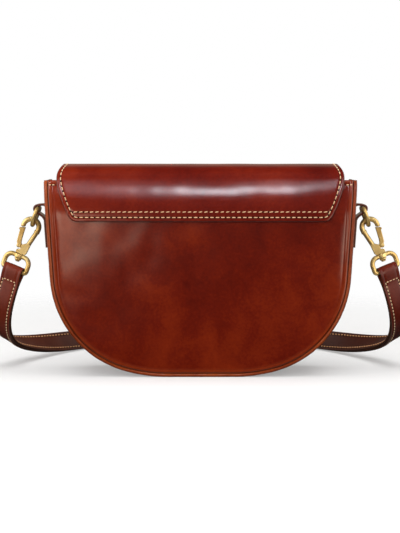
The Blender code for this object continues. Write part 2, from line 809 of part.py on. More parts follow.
def build_eye(side, word):
    y_axis = Vector((0.0, 1.0, 0.0))
    _, up = hook_axes()
    shoulder = BOSS_TOP - BOSS_LENGTH / 2.0 - EYE_SHOULDER_R
    reach = EYE_HALF - EYE_SHOULDER_R
    flat = arc((reach, shoulder), EYE_SHOULDER_R, 0.0, QUARTER, SHOULDER_STEPS)
    flat += arc((-reach, shoulder), EYE_SHOULDER_R, QUARTER, math.pi, SHOULDER_STEPS)
    reach = EYE_HALF - EYE_CORNER
    corner = eye_bar() + EYE_CORNER
    flat += arc((-reach, corner), EYE_CORNER, math.pi, math.pi + QUARTER, EASE_STEPS)
    flat += arc((reach, corner), EYE_CORNER, -QUARTER, 0.0, EASE_STEPS)
    path = [hook_point(pair) for pair in flat]
    eye = wire("swivel_eye_" + word, path, EYE_WIRE_R, y_axis, BRASS, True)
    foot = BOSS_TOP - BOSS_LENGTH
    waist = BOSS_R - BOSS_EDGE
    boss = ((waist, BOSS_TOP), (BOSS_R, BOSS_TOP - BOSS_EDGE), (BOSS_R, foot + BOSS_EDGE), (waist, foot))
    combine(eye, turned("boss", boss, hook_point((0.0, 0.0)), up, BRASS), "UNION")
    hole_r = POST_R + BOSS_PLAY
    bore = ((hole_r, BOSS_TOP + THROUGH), (hole_r, foot - THROUGH))
    combine(eye, turned("bore", bore, hook_point((0.0, 0.0)), up, BRASS), "DIFFERENCE")
    post = hook_point((0.0, 0.0))
    swivel = Matrix.Translation(post) @ Matrix.Rotation(EYE_SWIVEL, 4, up) @ Matrix.Translation(-post)
    eye.data.transform(swivel)
    hang_from(mirrored(eye, side), on_side(hook_point((0.0, eye_bar())), side))


# Strap


def end_axes():
    """Directions of the strap at the right eye: along, out, up."""
    across, up = hook_axes()
    turn = Matrix.Rotation(EYE_SWIVEL, 3, up)
    return up, turn @ Vector((0.0, -1.0, 0.0)), turn @ -across


def strap_route():
    """Frames from the middle of the strap to the right eye: point, along, out, up."""
    along = Vector((1.0, 0.0, 0.0))
    out = Vector((0.0, 1.0, 0.0))
    up = Vector((0.0, 0.0, 1.0))
    point = Vector((0.0, 0.0, STRAP_W / 2.0))
    step = STRAP_HALF_LENGTH / ROUTE_STEPS
    frames = [(point.copy(), along.copy(), out.copy(), up.copy())]
    for k in range(ROUTE_STEPS):
        place = (k + 0.5) / ROUTE_STEPS
        bend = STRAP_SWEEP + STRAP_TURN * bell(place, STRAP_TURN_AT_SHARE, STRAP_TURN_SPAN_SHARE)
        bend += STRAP_LIFT * bell(place, STRAP_LIFT_AT_SHARE, STRAP_LIFT_SPAN_SHARE)
        twist = STRAP_TWIST * bell(place, STRAP_TWIST_AT_SHARE, STRAP_TWIST_SPAN_SHARE)
        turn = (up * -bend + along * -twist) / ROUTE_STEPS
        half = Matrix.Rotation(turn.length / 2.0, 3, turn.normalized())
        whole = Matrix.Rotation(turn.length, 3, turn.normalized())
        point = point + (half @ along) * step
        along, out, up = whole @ along, whole @ out, whole @ up
        frames.append((point.copy(), along.copy(), out.copy(), up.copy()))
    miss = hook_point((0.0, eye_bar())) - point
    ends = end_axes()
    lean = [Matrix((along, out, up)).transposed(), Matrix(ends).transposed()]
    lean = (lean[1] @ lean[0].transposed()).to_quaternion()
    closed = []
    for k, (place, *axes) in enumerate(frames):
        share = (k / ROUTE_STEPS) ** STRAP_CLOSE_POWER
        turn = Quaternion().slerp(lean, share)
        place = place + Vector((miss.x * share, miss.y, miss.z * share))
        closed.append((place, *(turn @ axis for axis in axes)))
    return closed


def strap_offset(place):
    """How far a layer's middle lies from the strap's middle, wider near the eye."""
    flat = (STRAP_T + GAP) / 2.0
    wrap = EYE_WIRE_R + GAP + STRAP_T / 2.0
    left = (1.0 - place) * STRAP_HALF_LENGTH
    return flat + (wrap - flat) * ease(1.0 - left / STRAP_FLARE)


def strap_half(frames, side_sign, first, last):
    """Stations (point, normal, across) of one layer between two places on the right half."""
    stations = []
    for k in range(0, ROUTE_STEPS + 1, ROUTE_STRIDE):
        place = k / ROUTE_STEPS
        if first <= place <= last:
            point, _, out, up = frames[k]
            stations.append((point + out * (side_sign * strap_offset(place)), out * side_sign, up))
    return stations


def flipped(stations):
    return [
        (Vector((-p.x, p.y, p.z)), Vector((-n.x, n.y, n.z)), Vector((-u.x, u.y, u.z)))
        for p, n, u in reversed(stations)
    ]


def build_strap():
    frames = strap_route()
    tail = 1.0 - STRAP_TAIL / STRAP_HALF_LENGTH
    point, along, out, up = frames[-1]
    outer = strap_half(frames, 1.0, 0.0, 1.0)
    wrap = EYE_WIRE_R + GAP + STRAP_T / 2.0
    for k in range(1, WRAP_STEPS):
        angle = math.pi * k / WRAP_STEPS
        spoke = out * math.cos(angle) + along * math.sin(angle)
        outer.append((point + spoke * wrap, spoke, up))
    back = strap_half(frames, -1.0, tail, 1.0)
    outer += list(reversed(back))
    full = flipped(outer)[:-1] + outer
    points, normals, across = (list(column) for column in zip(*full))
    rings = ribbon_rings(points, normals, across, STRAP_W, STRAP_T, STRAP_EDGE)
    pivot = swing_axis()
    hang_from(loft("strap_outer", rings, LEATHER_STRAP), pivot)
    inner = strap_half(frames, -1.0, 0.0, tail)
    last_point, last_normal, last_across = back[0]
    step = (last_point - inner[-1][0]).length
    share = 1.0 - GAP / step
    if step > GAP and last_point != inner[-1][0]:
        inner.append((inner[-1][0].lerp(last_point, share), last_normal, last_across))
    full = flipped(inner)[:-1] + inner
    points, normals, across = (list(column) for column in zip(*full))
    rings = ribbon_rings(points, normals, across, STRAP_W, STRAP_T, STRAP_EDGE)
    hang_from(loft("strap_inner", rings, LEATHER_STRAP), pivot)


def swing_axis():
    """Middle of the line through the centres of the two rings' bows."""
    bar = ring_bar()
    down = Vector((math.sin(HANG), 0.0, -math.cos(HANG)))
    centre = bar + down * RING_SIDE
    return Vector((0.0, 0.0, centre.z))


def build():
    clear_scene()
    build_body()
    build_flap()
    for side, word in ((-1.0, "left"), (1.0, "right")):
        build_tab_and_ring(side, word)
        build_hook(side, word)
    build_strap()


build()
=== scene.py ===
"""A glossy leather shoulder bag seen from the back: leather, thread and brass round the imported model."""
import math

import bmesh
import bpy
import numpy as np
from mathutils import Matrix, Quaternion, Vector, geometry, noise


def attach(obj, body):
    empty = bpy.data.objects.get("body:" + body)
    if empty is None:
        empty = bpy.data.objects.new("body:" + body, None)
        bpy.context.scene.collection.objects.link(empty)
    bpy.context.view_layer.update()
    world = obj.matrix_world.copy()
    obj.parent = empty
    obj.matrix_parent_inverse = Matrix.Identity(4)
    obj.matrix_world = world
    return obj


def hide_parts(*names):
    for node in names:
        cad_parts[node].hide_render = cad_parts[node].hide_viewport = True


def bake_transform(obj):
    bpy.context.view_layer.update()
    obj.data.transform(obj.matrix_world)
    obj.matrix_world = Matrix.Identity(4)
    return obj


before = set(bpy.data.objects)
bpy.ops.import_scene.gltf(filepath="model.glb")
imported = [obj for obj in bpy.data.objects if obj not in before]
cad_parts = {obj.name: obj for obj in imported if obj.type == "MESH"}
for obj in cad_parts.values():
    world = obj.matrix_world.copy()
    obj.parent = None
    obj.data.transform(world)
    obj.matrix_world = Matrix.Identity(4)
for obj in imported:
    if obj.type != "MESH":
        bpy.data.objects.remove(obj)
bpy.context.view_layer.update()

# Sizes of the solids, in metres
GAP = 0.00035
TOP = 0.1686
FLAT_HALF = 0.028
HEEL_RADIUS = 0.140
HEEL_TURN = math.radians(14.5)
CORNER_RADIUS = 0.0887
SIDE_LEAN = math.radians(4.17)
HALF_DEPTH = 0.034
FRONT_DROP = 0.004
PINCH_START = TOP - 0.0336
PINCH_SHARE = 0.22
PANEL_T = 0.0022
GUSSET_T = 0.0022
PIPE_R = 0.0016
SEAM_INSET = PIPE_R + PIPE_R + GAP
TONGUE_REACH = 0.0055
LINING_T = 0.0010
LINING_DROP = 0.0030
BELLY = 0.0026
FLAP_T = 0.0022
FLAP_LINING_T = 0.0010
FLAP_LINING_MARGIN = 0.0015
FLAP_BACK_END = TOP - 0.0352
FLAP_BACK_CORNER = 0.0042
FLAP_BACK_NARROWING = 0.0136
FLAP_BACK_POWER = 1.45
FLAP_HALF = 0.1242
FLAP_WAIST = 0.0034
FLAP_BASE = TOP + 0.0012
FLAP_TOP = TOP + 0.0139
FLAP_FRONT_END = TOP - 0.1281
ARCH_POWER = 2.2
FRONT_POWER = 3.2
FRONT_LAST = 0.988
SOCKET_T = 0.0015
STUD_T = 0.0011
HANG = math.radians(20.0)
TAB_TOP = TOP - 0.0206
TAB_LENGTH = 0.0385
TAB_W = 0.0188
TAB_T = 0.0018
TAB_BEND_R = 0.0030
RING_OUT = 0.0090
RING_WIRE_R = 0.00175
RING_HALF = 0.01175
RING_SIDE = 0.0040
RING_CORNER = 0.0030
RING_DROP = TAB_T + GAP + RING_WIRE_R
HOOK_OUT = 0.01632
HOOK_DROP = 0.03936
BOW_CENTRE = (0.0013, 0.0249)
BOW_R = 0.0069
BOW_TURN = math.radians(18.0)
HOOK_WIRE_R = 0.0023
HOOK_ARM_R = 0.0021
HOOK_NOSE_R = 0.0021
NOSE_ROUND = 0.0008
COLLAR_R = 0.0026
COLLAR_T = 0.0013
ARM_FOOT = (0.0034, 0.0012)
ARM_KNEE = (0.0043, 0.0086)
BASE_HALF = 0.0029
TONGUE_HALF = 0.0011
POST_R = 0.00135
POST_HEAD_R = 0.0030
POST_HEAD_T = 0.0015
POST_TIP_R = 0.0021
POST_TIP_T = 0.0017
BOSS_TOP = -0.0008
BOSS_LENGTH = 0.0036
BOSS_MIDDLE = BOSS_TOP - BOSS_LENGTH / 2.0
BOSS_R = 0.0042
BOSS_PLAY = 0.0003
EYE_BAR = BOSS_MIDDLE - 0.0129
EYE_HALF = 0.0117
EYE_SHOULDER_R = 0.0062
EYE_CORNER = 0.0022
EYE_WIRE_R = 0.0021
EYE_SWIVEL = math.radians(18.0)
STRAP_W = 0.0185
STRAP_T = 0.0018
STRAP_TAIL = 0.038
STRAP_FLARE = 0.014
STRAP_HALF_LENGTH = 0.3355
STRAP_SWEEP = math.radians(60.6)

# Where the strap bends more: by how much, round which share of its half length, and how far to each side
STRAP_TURN = (math.radians(26.5), 0.17, 0.20)
STRAP_TWIST = (math.radians(76.3), 0.574, 0.428)
STRAP_LIFT = (math.radians(70.1), 0.831, 0.180)

# Sizes of the leather's and brass's own detail
FAR_FROM_EDGE = 0.01
EDGE_ROWS = (0.00012, 0.0003, 0.0006, 0.0011, 0.0018, 0.0026, 0.0034, 0.0042, 0.0050, 0.0062)
BAND_ROUND = 0.0006
BAND_ROWS = (0.0016, 0.0024, 0.0028, 0.0032, 0.0040, 0.0055)
MOUTH_BARE = 0.1252
MOUTH_ROW = TOP - 0.0043
EDGE_ROW = 0.0036
BAND_ROW = 0.0082
SPLIT_MARGIN = 0.0003
BEND_REACH = 0.004
STRAP_ROW = 0.0029
STRAP_BOX = 0.0098
STRAP_END = 0.003
STRAP_SWELL = 0.00012
TAB_ROW = 0.0026
TAB_BOX = 0.0155
THREAD_SINK = 0.0001
FLAP_THREAD_SINK = 0.00018
BAND_END = 0.0018
BAND_SLANT = -0.0005
# Painted shade of the needle holes: share of the gap, half width, and layers of lift and size
HOLE_SHADE_SHARE = 0.72
HOLE_SHADE_HALF = 0.00080
HOLE_SHADE_LAYERS = ((-0.0004, 1.0), (0.00007, 1.0), (0.00012, 0.6))
SOFT_RIM = 0.0003
QUARTER = math.pi / 2.0
Y_AXIS = np.array((0.0, 1.0, 0.0))

# Ridges and grooves along an edge: distance from it, half width, height
SEAM_RIDGE = (0.0014, 0.0011, 0.00035)
SEAM_GROOVE = (0.0042, 0.0011, -0.00030)
EDGE_GROOVE = (EDGE_ROW, 0.0008, -0.00022)
BAND_GROOVE = (BAND_ROW, 0.0008, -0.00018)
STRAP_GROOVE = (STRAP_ROW, 0.0007, -0.0002)

# Slow waves in the leather: scale and height
PANEL_WAVES = ((28.0, 0.00022), (75.0, 0.00006))
FLAP_WAVES = ((24.0, 0.00018), (80.0, 0.00005))


# Shapes


def along_run(points):
    """The length along a line up to each of its points."""
    return np.r_[0.0, np.cumsum(np.linalg.norm(np.diff(points, axis=0), axis=1))]


def read_at(at, places, columns):
    """Columns that are known at some places, read at others."""
    return np.stack([np.interp(at, places, column) for column in columns], -1)


def on_path(path, at):
    return read_at(at, along_run(path), path.T)


def resample(points, step):
    """The same line with points about a step apart."""
    points = np.asarray(points, float)
    length = along_run(points)[-1]
    count = max(2, int(round(length / step)) + 1)
    return on_path(points, np.linspace(0.0, length, count))


def closed_up(loop):
    return np.concatenate([loop, loop[:1]])


def ripple(points, scale, seed):
    """Smooth noise from about -1 to 1 at each point."""
    shift = Vector((seed * 7.3, seed * 3.1, seed * 5.7))
    found = [noise.noise(Vector(p) * scale + shift) for p in points.reshape(-1, 3)]
    return np.array(found).reshape(points.shape[:-1]) * 1.6


def waves(points, seed, layers):
    """Slow waves over flat leather; each layer is a scale and a height."""
    flat = np.stack([points[:, 0], points[:, 1], 0.0 * points[:, 0]], 1)
    return sum(ripple(flat, scale, seed + k) * height for k, (scale, height) in enumerate(layers))


def ease(share):
    share = np.clip(share, 0.0, 1.0)
    return share * share * (3.0 - 2.0 * share)


def hump(distance, middle, reach, height):
    return np.exp(-((distance - middle) / reach) ** 2) * height


def unit(vectors):
    return vectors / np.maximum(np.linalg.norm(vectors, axis=-1, keepdims=True), 1e-12)


def arc(centre, radius, start, end, steps):
    angles = np.linspace(start, end, steps + 1)
    return np.stack([centre[0] + radius * np.cos(angles), centre[1] + radius * np.sin(angles)], 1)


def pinch(z):
    """How much of its depth the bag keeps at a height."""
    rise = np.maximum((np.asarray(z, float) - PINCH_START) / (TOP - PINCH_START), 0.0)
    return 1.0 - PINCH_SHARE * rise * rise


def half_outline(inset, top, step=0.002):
    """The right half of the D from the middle of the bottom up to the mouth."""
    heel = arc((FLAT_HALF, HEEL_RADIUS), HEEL_RADIUS - inset, -QUARTER, HEEL_TURN - QUARTER, 24)
    shift = HEEL_RADIUS - CORNER_RADIUS
    middle = (FLAT_HALF + shift * math.sin(HEEL_TURN), HEEL_RADIUS - shift * math.cos(HEEL_TURN))
    corner = arc(middle, CORNER_RADIUS - inset, HEEL_TURN - QUARTER, -SIDE_LEAN, 80)[1:]
    x, z = corner[-1]
    mouth = (x + (top - z) * math.tan(SIDE_LEAN), top)
    return resample(np.concatenate([[(0.0, inset)], heel, corner, [mouth]]), step)


def whole_outline(inset, top, step):
    right = half_outline(inset, top, step)
    return np.concatenate([right[:0:-1] * (-1.0, 1.0), right])


def distance_to(points, loop):
    """How far each point is from a closed line."""
    start, end = loop, np.roll(loop, -1, 0)
    run = end - start
    squared = np.maximum((run * run).sum(1), 1e-18)
    least = np.full(len(points), 1e9)
    for k in range(0, len(points), 2000):
        part = points[k:k + 2000, None, :]
        share = np.clip(((part - start) * run).sum(2) / squared, 0.0, 1.0)
        gap = part - (start + share[..., None] * run)
        least[k:k + 2000] = np.sqrt((gap * gap).sum(2)).min(1)
    return least


def inside(points, loop):
    found = np.zeros(len(points), bool)
    for (x1, z1), (x2, z2) in zip(loop, np.roll(loop, -1, 0)):
        if z1 == z2:
            continue
        crossing = (z1 > points[:, 1]) != (z2 > points[:, 1])
        at = x1 + (points[:, 1] - z1) * (x2 - x1) / (z2 - z1)
        found ^= crossing & (points[:, 0] < at)
    return found


def moved_in(loop, distance, step):
    """The closed line moved in, evenly spaced; parts that would cross themselves are dropped."""
    x, z = loop.T
    turns = np.sign(np.sum(x * np.roll(z, -1) - np.roll(x, -1) * z))
    ahead = unit(np.roll(loop, -1, 0) - np.roll(loop, 1, 0))
    line = loop + np.stack([-ahead[:, 1], ahead[:, 0]], 1) * turns * distance
    line = line[distance_to(line, loop) > distance * 0.985]
    return resample(closed_up(line), step)[:-1]


def flat_cut(border, edge_line, rows, pitch):
    """Points and triangles of a flat piece of leather, with rows of points along its edge."""
    parts = [border]
    for reach in rows:
        line = moved_in(edge_line, reach, 0.0016 if reach < 0.006 else 0.0022)
        near = distance_to(line, border)
        parts.append(line[inside(line, border) & (near > min(reach * 0.9, 0.0005))])
    low, high = border.min(0), border.max(0)
    xs = np.arange(low[0] + pitch * 0.37, high[0], pitch)
    zs = np.arange(low[1] + pitch * 0.41, high[1], pitch)
    grid = np.stack(np.meshgrid(xs, zs), -1).reshape(-1, 2)
    grid = grid[inside(grid, border)]
    clear = distance_to(grid, edge_line) > rows[-1] + pitch * 0.6
    parts.append(grid[clear & (distance_to(grid, border) > pitch * 0.45)])
    points = np.concatenate(parts) * 1000.0
    loop = [list(range(len(border)))]
    made = geometry.delaunay_2d_cdt([Vector(p) for p in points], [], loop, 1, 1e-5)
    return np.array([tuple(v) for v in made[0]]) / 1000.0, [tuple(f) for f in made[2]]


def edge_profile(distance, reach):
    """How much of the thickness is left near a cut edge."""
    share = np.clip(1.0 - distance / reach, 0.0, 1.0)
    return 0.5 + 0.5 * np.sqrt(1.0 - share * share)


def surface(place, points):
    """Points and unit normals of a surface place(points) over flat points."""
    d = 0.0004
    over = place(points + (d, 0.0)) - place(points - (d, 0.0))
    up = place(points + (0.0, d)) - place(points - (0.0, d))
    return place(points), unit(np.cross(over, up))


def placed(name, data):
    """A new object in the scene."""
    item = bpy.data.objects.new(name, data)
    bpy.context.scene.collection.objects.link(item)
    return item


def make_object(name, verts, faces, look, edge=None):
    """A smooth closed mesh; each point keeps its place and its distance from the cut edge for the looks."""
    shape = bmesh.new()
    made = [shape.verts.new(v) for v in verts]
    for face in faces:
        shape.faces.new([made[k] for k in face])
    bmesh.ops.recalc_face_normals(shape, faces=shape.faces)
    mesh = bpy.data.meshes.new(name)
    shape.to_mesh(mesh)
    shape.free()
    edge = np.full(len(verts), FAR_FROM_EDGE) if edge is None else edge
    rest = mesh.attributes.new("rest", "FLOAT_VECTOR", "POINT")
    rest.data.foreach_set("vector", np.asarray(verts, np.float32).ravel())
    near = mesh.attributes.new("edge", "FLOAT", "POINT")
    near.data.foreach_set("value", np.asarray(edge, np.float32))
    mesh.shade_smooth()
    mesh.materials.append(look)
    return placed(name, mesh)


def row_faces(rows, ring, closed=False, base=0):
    """The faces between rows of points that each go once round."""
    faces = []
    for a in range(rows if closed else rows - 1):
        first, second = base + a * ring, base + (a + 1) % rows * ring
        for k in range(ring):
            n = (k + 1) % ring
            faces.append((first + k, first + n, second + n, second + k))
    return faces


def tube_faces(rows, ring, closed=False, base=0):
    """The same with a flat face at each end of an open tube."""
    faces = row_faces(rows, ring, closed, base)
    if not closed:
        faces.append(tuple(base + k for k in reversed(range(ring))))
        faces.append(tuple(base + (rows - 1) * ring + k for k in range(ring)))
    return faces


def plate(name, cut, place, thick, look, edge_line, reach, relief=None, splits=()):
    """A closed sheet of leather over a flat cut; at its splits it keeps the normals of the whole sheet."""
    points, faces = cut
    distance = distance_to(points, edge_line)
    here, normals = surface(place, points)
    profile = edge_profile(distance, reach)[:, None] * thick / 2.0
    high = here + normals * (profile + (0.0 if relief is None else relief(points, distance)[:, None]))
    low = here - normals * profile
    count = len(points)
    edges = dict.fromkeys(pair for face in faces for pair in zip(face, face[1:] + face[:1]))
    closing = [(b, a, a + count, b + count) for a, b in edges if (b, a) not in edges]
    lower = [tuple(k + count for k in reversed(face)) for face in faces]
    verts, faces = np.concatenate([high, low]), faces + lower + closing
    item = make_object(name, verts, faces, look, np.r_[distance, distance])
    if splits:
        held = np.any([np.abs(points[:, 1] - split) < 1e-6 for split in splits], axis=0)
        custom = normals * held[:, None]
        custom = np.concatenate([custom, -custom])
        item.data.normals_split_custom_set_from_vertices([tuple(v) for v in custom])
    return item


def ribbon(name, line, across, normals, half, thick, look, relief=None):
    """A closed band: rows of a cross-section that is rounded at its two edges."""
    margin = np.array([BAND_ROUND * share for share in (0.0, 0.25, 0.6, 1.0)] + list(BAND_ROWS))
    shares = margin[margin < half * 0.9] / half
    x = np.concatenate([-1.0 + shares, [0.0], (1.0 - shares)[::-1]]) * half
    distance = half - np.abs(x)
    profile = edge_profile(distance, BAND_ROUND) * thick / 2.0
    lift = profile + (0.0 if relief is None else relief(x, distance))
    middle = line[:, None] + across[:, None] * x[:, None]
    high = middle + normals[:, None] * lift[:, None]
    low = middle - normals[:, None] * profile[:, None]
    edge = np.tile(np.concatenate([distance, distance[::-1]]), len(line))
    return skin(name, np.concatenate([high, low[:, ::-1]], 1), look, edge)


def skin(name, rows, look, edge=None):
    """A closed skin over rows of points that all go once round."""
    count, ring, _ = rows.shape
    faces = row_faces(count, ring)
    for start in (0, (count - 1) * ring):
        for k in range(ring // 2 - 1):
            faces.append(tuple(start + q for q in (k, k + 1, ring - 2 - k, ring - 1 - k)))
    return make_object(name, rows.reshape(-1, 3), faces, look, edge)


# Materials


def add(tree, kind, inputs=None, **settings):
    """A node with its settings; an input that is a socket is linked."""
    node = tree.nodes.new(kind)
    for key, value in settings.items():
        setattr(node, key, value)
    for key, value in (inputs or {}).items():
        if isinstance(value, bpy.types.NodeSocket):
            tree.links.new(value, node.inputs[key])
        else:
            node.inputs[key].default_value = value
    return node


def ramp(tree, factor, *stops):
    node = add(tree, "ShaderNodeValToRGB", {"Fac": factor})
    band = node.color_ramp
    while len(band.elements) < len(stops):
        band.elements.new(0.5)
    for element, (place, colour) in zip(band.elements, stops):
        element.position = place
        element.color = (*colour, 1.0)
    return node.outputs["Color"]


def calc(tree, operation, a, b=0.0, c=0.0):
    return add(tree, "ShaderNodeMath", {0: a, 1: b, 2: c}, operation=operation).outputs[0]


def length_of(tree, a, b):
    return calc(tree, "SQRT", calc(tree, "MULTIPLY_ADD", a, a, calc(tree, "MULTIPLY", b, b)))


def mix(tree, factor, a, b):
    return add(tree, "ShaderNodeMix", {0: factor, 6: a, 7: (*b, 1.0)}, data_type="RGBA").outputs[2]


def span(tree, value, low, high, out_low=0.0, out_high=1.0):
    inputs = {0: value, 1: low, 2: high, 3: out_low, 4: out_high}
    return add(tree, "ShaderNodeMapRange", inputs, interpolation_type="SMOOTHSTEP").outputs[0]


def noise_at(tree, place, scale, detail=3.0, rough=0.5, twist=0.0):
    inputs = {"Vector": place, "Scale": scale, "Detail": detail, "Roughness": rough, "Distortion": twist}
    return add(tree, "ShaderNodeTexNoise", inputs).outputs["Fac"]


def bumped(tree, height, distance, **inputs):
    inputs = {"Height": height, "Distance": distance, "Strength": 1.0, **inputs}
    return add(tree, "ShaderNodeBump", inputs).outputs[0]


def attribute(tree, name, output):
    return add(tree, "ShaderNodeAttribute", attribute_name=name).outputs[output]


def new_material(name, **fixed):
    made = bpy.data.materials.new(name)
    made.use_nodes = True
    shader = made.node_tree.nodes["Principled BSDF"]
    for key, value in fixed.items():
        shader.inputs[key.replace("_", " ")].default_value = value
    return made, made.node_tree, shader


def feed(shader, **sockets):
    """Links sockets to the shader's inputs of those names."""
    for key, socket in sockets.items():
        shader.id_data.links.new(socket, shader.inputs[key.replace("_", " ")])


# Noise in the leather: scale, detail, roughness, twist
CLOUD = (13.0, 3.0, 0.5, 0.3)
BLOTCH = (48.0, 4.0, 0.6, 0.8)
SPECK = (420.0, 3.0, 0.6)
PATCH = (45.0, 2.0)
PORES = (700.0, 2.0, 0.7)
CELLS = 1100.0

# How the colour changes across the bag, lighter at negative x and darker at positive x, and in spots: x, z,
# reach across, reach up, lift
TONE_ACROSS = (-0.12, 0.13, 0.080, -0.045)
TONE_SPOTS = (
    (-0.010, 0.122, 0.034, 0.024, 0.085),
    (-0.060, 0.020, 0.080, 0.045, 0.038),
    (0.055, 0.110, 0.050, 0.045, -0.070),
    (-0.080, 0.180, 0.045, 0.022, -0.055),
)
GLAZE_SHARE = 0.4
# Painted highlight: the lighter colour along the rounded ridge beside a seam
SEAM_PAINTED_HIGHLIGHT = (0.27, 0.036, 0.005)


def leather(name, dark, middle, light, edge_colour, rough=(0.34, 0.44), grain=0.000018, coat=0.8, gloss=0.12,
            crease=0.0):
    """Glazed leather: cloudy colour that also shifts across the bag and in spots, fine grain, dark burnished
    cut edges, a hard gloss over a dull one; with crease set, a painted highlight beside the seam and a thin
    line of painted shade in the crease.
    """
    made, tree, shader = new_material(name, Coat_Weight=coat, Coat_Roughness=0.13, Specular_IOR_Level=gloss)
    place = attribute(tree, "rest", "Vector")
    stretched = add(tree, "ShaderNodeMapping", {"Vector": place, "Scale": (1.0, 1.0, 0.45)}).outputs[0]
    tone_level = calc(tree, "MULTIPLY", noise_at(tree, place, *BLOTCH), 0.30)
    tone_level = calc(tree, "MULTIPLY_ADD", noise_at(tree, stretched, *CLOUD), 0.66, tone_level)
    tone_level = calc(tree, "MULTIPLY_ADD", noise_at(tree, place, *SPECK), 0.24, tone_level)
    spot = add(tree, "ShaderNodeSeparateXYZ", {0: place}).outputs
    tone_level = calc(tree, "ADD", tone_level, span(tree, spot[0], *TONE_ACROSS))
    for x, z, wide, high, lift in TONE_SPOTS:
        aside = calc(tree, "DIVIDE", calc(tree, "SUBTRACT", spot[0], x), wide)
        above = calc(tree, "DIVIDE", calc(tree, "SUBTRACT", spot[2], z), high)
        tone_level = calc(tree, "ADD", tone_level, span(tree, length_of(tree, aside, above), 0.0, 1.0, lift, 0.0))
    colour = ramp(tree, tone_level, (0.45, dark), (0.60, middle), (0.77, light))
    edge = attribute(tree, "edge", "Fac")
    rim = span(tree, edge, 0.00005, 0.0006, 1.0, 0.0)
    # Painted light near a seam: a lighter band stands for the highlight on the rounded ridge, and a thin dark
    # line at the crease distance stands for the shade in the crease
    if crease:
        colour = mix(tree, span(tree, edge, 0.0010, 0.0050, 0.45, 0.0), colour, SEAM_PAINTED_HIGHLIGHT)
        off = calc(tree, "ABSOLUTE", calc(tree, "SUBTRACT", edge, crease))
        rim = calc(tree, "MAXIMUM", rim, span(tree, off, 0.0001, 0.0008, 0.2, 0.0))
    cell = add(tree, "ShaderNodeTexVoronoi", {"Vector": place, "Scale": CELLS}, feature="SMOOTH_F1")
    height = calc(tree, "MULTIPLY_ADD", cell.outputs["Distance"], 0.7, noise_at(tree, place, *PORES))
    feed(
        shader,
        Base_Color=mix(tree, rim, colour, edge_colour),
        Roughness=span(tree, noise_at(tree, place, *PATCH), 0.3, 0.7, *rough),
        Normal=bumped(tree, height, grain),
        Coat_Normal=bumped(tree, height, grain * GLAZE_SHARE),
    )
    return made


def suede(name, dark, light):
    """Soft brushed lining with a short nap."""
    made, tree, shader = new_material(name, Sheen_Weight=0.5, Sheen_Roughness=0.5, Roughness=0.95)
    place = attribute(tree, "rest", "Vector")
    nap = noise_at(tree, place, 900.0, 3.0, 0.8)
    tone = calc(tree, "MULTIPLY_ADD", noise_at(tree, place, 40.0), 0.6, calc(tree, "MULTIPLY", nap, 0.4))
    feed(shader, Base_Color=ramp(tree, tone, (0.35, dark), (0.65, light)), Normal=bumped(tree, nap, 0.00012))
    return made


def metal(name, dark, middle, light):
    """Old brass or steel: warm soft clouds, faint rubbing marks and soft corners."""
    made, tree, shader = new_material(name, Metallic=0.75)
    place = add(tree, "ShaderNodeTexCoord").outputs["Object"]
    cloud = noise_at(tree, place, 70.0, 1.0, 0.4, 0.2)
    corner = add(tree, "ShaderNodeBevel", {"Radius": SOFT_RIM}, samples=16).outputs[0]
    feed(
        shader,
        Base_Color=ramp(tree, cloud, (0.30, dark), (0.50, middle), (0.70, light)),
        Roughness=span(tree, noise_at(tree, place, 90.0, 1.0), 0.3, 0.7, 0.32, 0.40),
        Normal=bumped(tree, noise_at(tree, place, 600.0, 2.0), 0.0000015, Normal=corner),
    )
    return made


def fibre(name, dark, light, rough, sheen=0.0):
    """Dull thread, or the painted shade of a needle hole."""
    made, tree, shader = new_material(name, Roughness=rough, Sheen_Weight=sheen, Specular_IOR_Level=0.1)
    tone = noise_at(tree, attribute(tree, "rest", "Vector"), 900.0, 3.0, 0.7)
    feed(shader, Base_Color=ramp(tree, tone, (0.3, dark), (0.7, light)))
    return made


# The body leather carries the painted highlight beside its seams and a line of painted shade in the crease
# beside them
BODY = leather("body_leather", (0.064, 0.0024, 0.0008), (0.115, 0.0062, 0.0011), (0.195, 0.017, 0.0024),
               (0.012, 0.003, 0.002), crease=0.0032)
FLAP = leather("flap_leather", (0.068, 0.0024, 0.0010), (0.112, 0.0055, 0.0014), (0.175, 0.013, 0.0028),
               (0.05, 0.010, 0.006), grain=0.000028)
RIM = leather("rim_leather", (0.110, 0.011, 0.002), (0.195, 0.028, 0.004), (0.300, 0.056, 0.011),
              (0.05, 0.010, 0.004), coat=0.4, gloss=0.15)
SIDE = leather("gusset_leather", (0.055, 0.008, 0.004), (0.090, 0.015, 0.008), (0.150, 0.032, 0.017),
               (0.10, 0.030, 0.018), coat=0.6)
STRAP = leather("strap_leather", (0.055, 0.005, 0.002), (0.100, 0.010, 0.004), (0.150, 0.020, 0.008),
                (0.060, 0.022, 0.011), coat=0.5)
INNER = leather("strap_inner_leather", (0.028, 0.005, 0.0025), (0.047, 0.010, 0.0055), (0.070, 0.017, 0.009),
                (0.045, 0.016, 0.008), (0.5, 0.6), coat=0.08)
SUEDE = suede("lining_suede", (0.22, 0.12, 0.065), (0.40, 0.25, 0.15))
THREAD = fibre("thread", (0.60, 0.37, 0.18), (0.95, 0.68, 0.40), 0.65, 0.3)
STRAP_THREAD = fibre("strap_thread", (0.48, 0.21, 0.08), (0.80, 0.41, 0.19), 0.7, 0.2)
